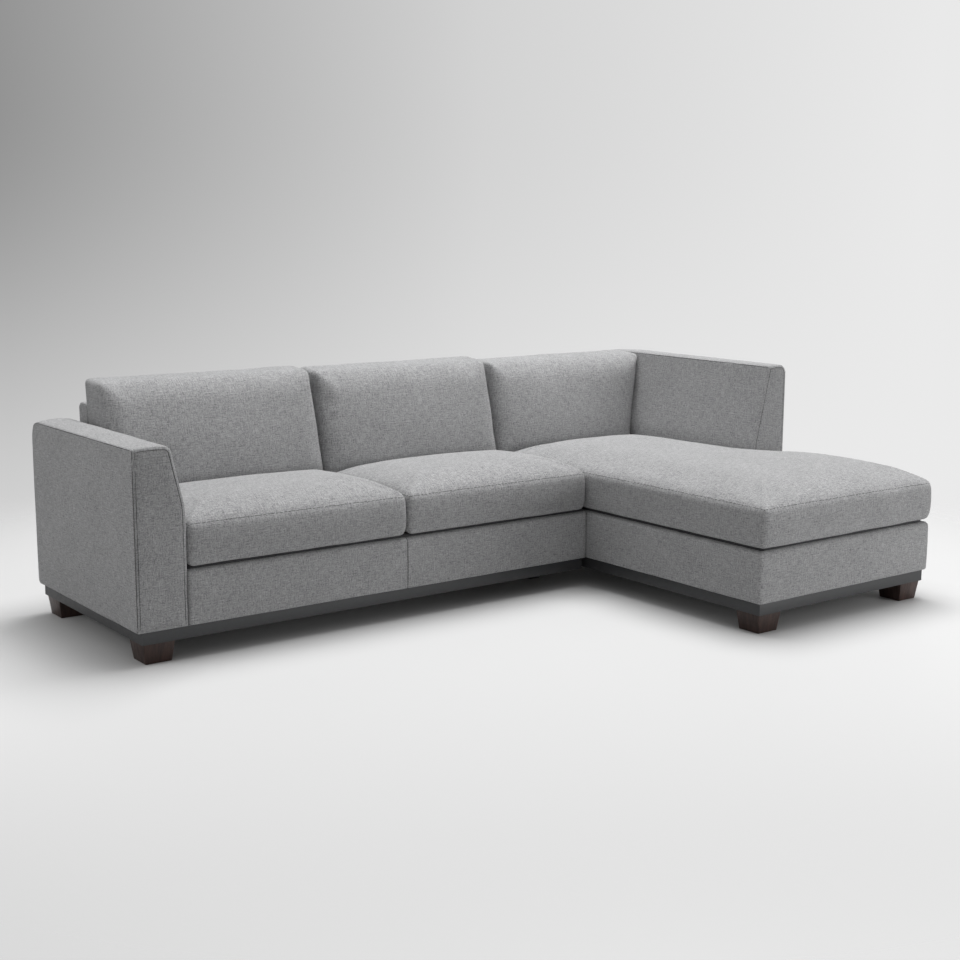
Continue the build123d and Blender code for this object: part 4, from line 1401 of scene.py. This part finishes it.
@dataclass
class Border:
    """The padded strip round a seat box, between the plinth and the cushions."""

    body: Body
    nodes: tuple[str, ...]
    name: str
    path: tuple[Pair, ...]
    corner: float = 0.016
    corner_steps: int = 6
    step: float = 0.014
    section_step: float = 0.012
    thickness: float = 0.0188
    edge: float = 0.007
    roll: float = 0.017
    front_share: float = 0.8
    drop: float = 0.007
    swell: float = 0.0022
    seam_at: float | None = None
    gaps: tuple[Pair, ...] = ()
    gap_top: float = 0.236
    sideways: float = 0.9
    ruffle: Ruffle = Ruffle(pinch=0.0008, pucker=0.0006, swell=0.0008)

    def route(self) -> tuple[np.ndarray, np.ndarray]:
        """Points along the outer face with rounded corners, and the outward directions there.

        Returns:
            The points and the directions, as rows of two coordinates.
        """
        points, outward = [], []
        corners = [np.array(p) for p in self.path]
        for n in range(len(corners) - 1):
            a, b = corners[n], corners[n + 1]
            ahead = (b - a) / np.linalg.norm(b - a)
            out = np.array([ahead[1], -ahead[0]])
            start = a + ahead * (self.corner if n else 0.0)
            stop = b - ahead * (self.corner if n < len(corners) - 2 else 0.0)
            stops = [0.0, np.linalg.norm(stop - start)]
            if not n:
                stops += [abs(y - a[1]) for gap in self.gaps for y in gap]
            for run in stations(sorted(stops), self.step):
                points.append(start + ahead * run)
                outward.append(out)
            if n < len(corners) - 2:
                following = corners[n + 2] - b
                next_out = np.array([following[1], -following[0]]) / np.linalg.norm(following)
                centre = stop - out * self.corner
                for angle in np.linspace(0, math.pi / 2, self.corner_steps + 1)[1:-1]:
                    way = out * math.cos(angle) + next_out * math.sin(angle)
                    points.append(centre + way * self.corner)
                    outward.append(way)
        return np.array(points), np.array(outward)

    def build(self) -> None:
        """Models the strip, sews it and dresses it."""
        boxes = [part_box(node) for node in self.nodes]
        low, high = min(b[0].z for b in boxes), max(b[1].z for b in boxes) - self.drop
        self.height = high - low
        points, outward = self.route()
        rings = []
        for point, way in zip(points, outward):
            raised = any(min(g) - TINY <= point[1] <= max(g) + TINY for g in self.gaps)
            foot = self.gap_top if raised and abs(way[0]) > self.sideways else low
            rings.append(self.section(point, way, foot, high))
        shape, faces = loft(rings)
        seams = []
        if self.seam_at is not None:
            near = int(np.argmin(np.abs(points[:, 0] - self.seam_at)))
            seams.append(rings[near][self.front])
        cover(new_piece(self.name, shape, faces), self.body, self.nodes, seams, self.ruffle)

    def section(self, point: np.ndarray, way: np.ndarray, low: float, high: float) -> np.ndarray:
        """One ring of the strip: flat inside, rolled edges and a slight swell outside."""
        tall = self.height
        corners = [(0.0, 0.0), (0.0, tall), (-self.thickness, tall), (-self.thickness, 0.0)]
        radii = (self.edge, self.roll, 0.0, 0.0)
        outline = Outline(corners, radii, self.section_step).points()
        self.front = np.flatnonzero(outline[:, 0] > -self.roll * self.front_share)
        swell = self.swell * np.sin(math.pi * np.clip(outline[:, 1] / tall, 0, 1))
        reach = outline[:, 0] + np.where(outline[:, 0] > -self.thickness / 2, swell, 0.0)
        flat = point[None, :] + reach[:, None] * way[None, :]
        return np.column_stack([flat, low + outline[:, 1] * (high - low) / tall])


@dataclass
class DeckPad:
    """The quilted pad on the springs, under the loose cushions."""

    body: Body
    node: str
    name: str
    notch: Pair | None = None
    cell: float = 0.026
    layers: int = 2
    edge: float = 0.005
    dip: float = 0.0015
    dips_per_metre: float = 9.0
    dip_seed: float = 0.3
    margin: float = 0.0016
    fill: float = 0.9

    def build(self) -> None:
        """Models the pad and dresses it."""
        low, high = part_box(self.node)
        low.x += self.margin
        high.x -= self.margin
        xs, ys, cells = divided(low, high, self.notch, self.cell)
        skin = Lattice(cells, self.layers)
        zs = np.linspace(low.z, high.z, self.layers + 1)
        keys = skin.keys
        flat = np.column_stack([xs[keys[:, 0]], ys[keys[:, 1]]])
        plan = Plan((low.x, low.y), (high.x, high.y), 0.0, self.notch)
        flat, drop = roll_edge(plan, flat, high.z - zs[keys[:, 2]], self.edge)
        scale = self.dips_per_metre
        dips = [abs(noise.noise(Vector((x * scale, y * scale, self.dip_seed)))) for x, y in flat]
        on_top = keys[:, 2] == self.layers
        height = high.z - drop - np.where(on_top, self.dip * np.array(dips), 0.0)
        piece = new_piece(self.name, np.column_stack([flat, height]), skin.faces)
        dress(piece, Slot.DECK, self.body, [self.node])


# ---------------------------------------------------------------- base and inside


def copied(node: str, name: str, flat_angle: float | None = None) -> Piece:
    """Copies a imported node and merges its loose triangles.

    Args:
        node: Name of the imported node.
        name: Name of the copy.
        flat_angle: Angle below which neighbouring faces become one, if they do.

    Returns:
        The copy, linked to the scene.
    """
    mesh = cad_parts[node].data.copy()
    work = bmesh.new()
    work.from_mesh(mesh)
    bmesh.ops.remove_doubles(work, verts=work.verts, dist=PROBE)
    if flat_angle is not None:
        bmesh.ops.dissolve_limit(work, angle_limit=flat_angle, verts=work.verts, edges=work.edges)
    work.to_mesh(mesh)
    work.free()
    return linked(name, mesh)


@dataclass
class Base:
    """Plinths, feet and support legs with eased edges."""

    pieces: tuple[tuple[str, Body, Slot, float], ...] = (
        ("sofa_plinth", Body.SOFA, Slot.PLINTH, 0.0016),
        ("chaise_plinth", Body.CHAISE, Slot.PLINTH, 0.0016),
        ("sofa_feet", Body.SOFA, Slot.FOOT, 0.0032),
        ("chaise_feet", Body.CHAISE, Slot.FOOT, 0.0032),
        ("sofa_support_legs", Body.SOFA, Slot.LEG, 0.002),
    )
    flat_angle: float = math.radians(1.0)
    sharp_angle: float = math.radians(35)
    bevel_angle: float = math.radians(40)
    segments: int = 3

    def build(self) -> None:
        """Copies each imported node, eases its edges and dresses it."""
        for node, body, slot, width in self.pieces:
            piece = copied(node, f"{node}_eased", self.flat_angle)
            bevel = piece.modifiers.new("ease", "BEVEL")
            bevel.width = width
            bevel.segments = self.segments
            bevel.limit_method = "ANGLE"
            bevel.angle_limit = self.bevel_angle
            settle(piece)
            piece.data.shade_smooth()
            piece.data.set_sharp_from_angle(angle=self.sharp_angle)
            dress(piece, slot, body, [node])


@dataclass
class DustCovers:
    """Thin black sheets stapled under the seat boxes."""

    pieces: tuple[tuple[str, Body, str], ...] = (
        ("sofa_dust_cover", Body.SOFA, "sofa_front_rail"),
        ("chaise_dust_cover", Body.CHAISE, "chaise_front_rail"),
    )

    def build(self) -> None:
        """Dresses a copy of each sheet with its weave."""
        for node, body, rail in self.pieces:
            piece = copied(node, f"{node}_cloth")
            dress(piece, Slot.DUST, body, [node])


@dataclass
class Inside:
    """Frames, springs, foam and fittings that the covers hide."""

    finishes: tuple[tuple[str, Slot], ...] = (
        ("core", Slot.FOAM), ("webbing", Slot.WEBBING), ("springs", Slot.STEEL),
        ("clips", Slot.STEEL), ("bolts", Slot.STEEL), ("connector", Slot.STEEL),
        ("cover", Slot.UPHOLSTERY), ("border", Slot.UPHOLSTERY), ("deck", Slot.DECK),
        ("plinth", Slot.PLINTH), ("feet", Slot.FOOT), ("legs", Slot.LEG),
    )

    def build(self) -> None:
        """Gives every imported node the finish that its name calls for."""
        for name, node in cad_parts.items():
            slot = next((s for word, s in self.finishes if word in name), Slot.FRAME)
            node.data.materials.clear()
            node.data.materials.append(MATERIALS[slot])


# ---------------------------------------------------------------- studio


@dataclass(frozen=True)
class Lamp:
    """One square soft lamp: where it hangs, what it points at, its side and its watts."""

    name: str
    place: Triple
    target: Triple
    size: float
    power: float

    def hang(self) -> None:
        """Adds the lamp to the scene."""
        data = bpy.data.lights.new(self.name, "AREA")
        data.shape = "SQUARE"
        data.size = self.size
        data.energy = self.power
        way = (Vector(self.target) - Vector(self.place)).to_track_quat("-Z", "Y")
        lamp = linked(self.name, data)
        lamp.matrix_world = Matrix.Translation(self.place) @ way.to_matrix().to_4x4()


@dataclass
class Studio:
    """Camera, floor, backdrop light and lamps."""

    eye: Triple = (-3.2291, -4.1940, 1.3839)
    yaw: float = math.radians(37.0209)
    pitch: float = math.radians(9.8657)
    roll: float = math.radians(0.2575)
    lens: float = 56.06
    sensor: float = 36.0
    floor_radius: float = 3.6
    floor_sides: int = 96
    floor_fade: Pair = (1.9, 3.3)
    floor_roughness: float = 0.55
    floor_specular: float = 0.15
    floor_tone: float = 0.50
    # The floor's glow is seen only by the camera and lightens the floor and its shadows; the
    # occlusion reach and power below dim it into a painted contact shadow near and under the sofa.
    floor_glow: float = 0.175
    painted_shadow_power: float = 1.5
    painted_shadow_reach: float = 0.30
    floor_bounce: float = 0.48
    ambient: float = 0.21
    # Backdrop tones are painted light and shade: the wall and ground are lighter to the right and
    # darker to the left, where the lamps' light falls off.
    wall_left: tuple[Pair, Pair] = ((-0.30, 0.0), (0.29, 0.645))
    wall_right: tuple[Pair, Pair] = ((0.0, 0.28), (0.0, 0.17))
    ground: tuple[Pair, Pair] = ((-0.30, 0.10), (0.70, 0.83))
    horizon: Pair = (0.08, -0.27)
    lamps: tuple[Lamp, ...] = (
        Lamp("overhead", (1.8, 1.0, 7.6), (0.8, 0.5, 0.3), 5.0, 800.0),
        Lamp("front_right", (2.2, -3.4, 0.8), (0.9, -0.86, 0.25), 1.5, 35.0),
        Lamp("left", (-3.4, 0.5, 1.35), (-1.4, 0.4, 0.2), 1.1, 14.0),
    )

    def build(self) -> None:
        """Builds all of the studio."""
        self.camera()
        self.floor()
        self.world()
        for lamp in self.lamps:
            lamp.hang()
        bpy.context.scene.view_settings.view_transform = "Standard"

    def axes(self) -> tuple[Vector, Vector, Vector]:
        """Right, up and forward of the camera."""
        forward = Vector((math.sin(self.yaw) * math.cos(self.pitch),
                          math.cos(self.yaw) * math.cos(self.pitch), -math.sin(self.pitch)))
        level = Vector((math.cos(self.yaw), -math.sin(self.yaw), 0.0))
        up = level.cross(forward)
        right = level * math.cos(self.roll) + up * math.sin(self.roll)
        top = up * math.cos(self.roll) - level * math.sin(self.roll)
        return right, top, forward

    def camera(self) -> None:
        """Places the camera where the photograph was taken from."""
        data = bpy.data.cameras.new("camera")
        data.lens, data.sensor_width = self.lens, self.sensor
        eye = linked("camera", data)
        right, up, forward = self.axes()
        turn = Matrix((right, up, -forward)).transposed().to_4x4()
        eye.matrix_world = Matrix.Translation(self.eye) @ turn
        bpy.context.scene.camera = eye

    @staticmethod
    def background_seen(sheet: NodeSheet) -> Socket:
        """Tells the rays that show the background from those that only carry light.

        Args:
            sheet: The node tree of the floor or the world.

        Returns:
            A socket that is one for camera, transmission and glossy rays.
        """
        path = sheet.add("ShaderNodeLightPath").outputs
        seen = sheet.math("MAXIMUM", path["Is Camera Ray"], path["Is Transmission Ray"])
        return sheet.math("MAXIMUM", seen, path["Is Glossy Ray"])

    def floor(self) -> None:
        """Makes a round floor that fades out into the backdrop, with a camera-only glow that
        paints light on it and a painted contact shadow near the sofa.
        """
        count = self.floor_sides
        turns = np.linspace(0, 2 * math.pi, count, endpoint=False)
        rim = np.column_stack([np.cos(turns), np.sin(turns), np.zeros(count)]) * self.floor_radius
        piece = new_piece("studio_floor", rim, [range(count)])
        material = bpy.data.materials.new("studio_floor")
        material.use_nodes = True
        s = NodeSheet(material.node_tree)
        shader = material.node_tree.nodes["Principled BSDF"]
        seen = self.background_seen(s)
        tones = [(*([tone] * 3), 1.0) for tone in (self.floor_bounce, self.floor_tone)]
        # Painted contact shadow: ambient occlusion cuts the camera-only glow, so the floor darkens
        # near and under the sofa.
        sky = s.add("ShaderNodeAmbientOcclusion", {"Distance": self.painted_shadow_reach}).outputs["AO"]
        glow_with_painted_shadow = s.math("MULTIPLY", s.math("POWER", sky, self.painted_shadow_power), self.floor_glow)
        values = {"Base Color": s.blend(seen, *tones), "Roughness": self.floor_roughness,
                  "Specular IOR Level": self.floor_specular, "Emission Color": WHITE,
                  "Emission Strength": s.math("MULTIPLY", seen, glow_with_painted_shadow)}
        for label, value in values.items():
            s.put(shader.inputs[label], value)
        place = s.add("ShaderNodeTexCoord").outputs["Object"]
        reach = s.add("ShaderNodeVectorMath", {0: place}, operation="LENGTH").outputs["Value"]
        below = s.add("ShaderNodeNewGeometry").outputs["Backfacing"]
        fade = s.math("MAXIMUM", s.span(reach, self.floor_fade, ease="SMOOTHSTEP"), below)
        clear = s.add("ShaderNodeBsdfTransparent").outputs[0]
        mixed = s.add("ShaderNodeMixShader", {0: fade, 1: shader.outputs[0], 2: clear}).outputs[0]
        s.put(material.node_tree.nodes["Material Output"].inputs[0], mixed)
        piece.data.materials.append(material)

    def world(self) -> None:
        """Paints a pale backdrop with painted shade, darker to the upper left and lighter to the
        right, behind an even ambient light.
        """
        world = bpy.data.worlds.new("studio")
        bpy.context.scene.world = world
        world.use_nodes = True
        s = NodeSheet(world.node_tree)
        world.node_tree.nodes.clear()
        ray = s.add("ShaderNodeTexCoord").outputs["Generated"]
        right = self.axes()[0]
        side = s.add("ShaderNodeVectorMath", {0: ray, 1: tuple(right)}, operation="DOT_PRODUCT")
        lift = s.add("ShaderNodeSeparateXYZ", {0: ray}).outputs[2]
        across = side.outputs["Value"]
        # Painted shade across the backdrop: the tone rises from left to right, as the lamps' light
        # would fall on it.
        wall = s.math("ADD", s.span(across, *self.wall_left), s.span(across, *self.wall_right))
        drop = s.span(lift, self.horizon, ease="SMOOTHSTEP")
        tone = s.mix(drop, wall, s.span(across, *self.ground))
        shown = s.add("ShaderNodeBackground", {0: tone})
        lit = s.add("ShaderNodeBackground", {0: WHITE, 1: self.ambient})
        mixed = s.add("ShaderNodeMixShader",
                      {0: self.background_seen(s), 1: lit.outputs[0], 2: shown.outputs[0]})
        s.add("ShaderNodeOutputWorld", {0: mixed.outputs[0]})


# ---------------------------------------------------------------- the sofa


@dataclass
class Sofa:
    """The whole sofa, from the frame's boxes."""

    cushion_gap: float = 0.003
    fit_gap: float = 0.0005
    connector_half: float = 0.028
    notch_half: float = 0.046
    border_proud: float = 0.008

    def build(self) -> None:
        """Builds every sub-assembly in order."""
        Inside().build()
        Base().build()
        DustCovers().build()
        return_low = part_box("return_cover")[0]
        notch = (return_low.x - self.cushion_gap, return_low.y - self.cushion_gap)
        deck_notch = (return_low.x - self.fit_gap, return_low.y - self.fit_gap)
        DeckPad(Body.SOFA, "sofa_deck_pad", "sofa_deck").build()
        DeckPad(Body.CHAISE, "chaise_deck_pad", "chaise_deck", deck_notch).build()
        SidePanel(Body.SOFA, "arm_cover", "arm").build()
        SidePanel(Body.CHAISE, "return_cover", "return", mirrored=True, inner_roll=0.011,
                  outer_roll=0.030, proud=0.006, rear_roll=0.060, crown_end=0.95,
                  top_seams=(-0.92, 0.70)).build()
        BackPanel(Body.SOFA, "sofa_back_cover", "sofa_back").build()
        BackPanel(Body.CHAISE, "chaise_back_cover", "chaise_back", return_side=True).build()
        self.borders(return_low.y)
        SeatCushion(Body.SEAT_LEFT, "seat_cushion_left_cover").build()
        SeatCushion(Body.SEAT_RIGHT, "seat_cushion_right_cover").build()
        SeatCushion(Body.CHAISE_SEAT, "chaise_cushion_cover", notch, cell=0.018,
                    crown=0.056, fullness=0.27, brim_share=0.25, overhang=(0.010, 0.005),
                    lip_sides=True).build()
        BackCushion(Body.BACK_LEFT, "back_cushion_left_cover", rise=0.003, flare=0.016).build()
        BackCushion(Body.BACK_CENTRE, "back_cushion_centre_cover", rise=-0.003).build()
        BackCushion(Body.BACK_RIGHT, "back_cushion_right_cover", return_side=True,
                    corner=0.014, right_roll=0.003, rise=-0.017, swing=0.034,
                    side_room=0.0026).build()
        for body in Body:
            SEAMS.sew(body)

    def borders(self, return_front: float) -> None:
        """Builds the strips round both seat boxes."""
        low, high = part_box("sofa_front_border")
        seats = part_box("seat_cushion_left_cover")[1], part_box("seat_cushion_right_cover")[0]
        split = (seats[0].x + seats[1].x) / 2
        Border(Body.SOFA, ("sofa_front_border",), "sofa_border",
               ((low.x, low.y), (high.x, low.y)), seam_at=split).build()
        left_low, left_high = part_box("chaise_left_border")
        front_low, front_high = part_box("chaise_front_border")
        channel_low, channel_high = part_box("sofa_connector_channel")
        centres = (channel_low.y + self.connector_half, channel_high.y - self.connector_half)
        gaps = tuple((y - self.notch_half, y + self.notch_half) for y in centres)
        right = front_high.x + self.border_proud
        path = ((left_low.x, left_high.y), (front_low.x, front_low.y),
                (right, front_low.y), (right, return_front))
        nodes = ("chaise_left_border", "chaise_front_border", "chaise_right_border")
        Border(Body.CHAISE, nodes, "chaise_border", path, swell=0.0012, gaps=gaps).build()


def main() -> None:
    """Builds the sofa and the studio."""
    logging.basicConfig(level=logging.INFO, format="%(name)s: %(message)s")
    Sofa().build()
    Studio().build()


if __name__ == "__main__":
    main()
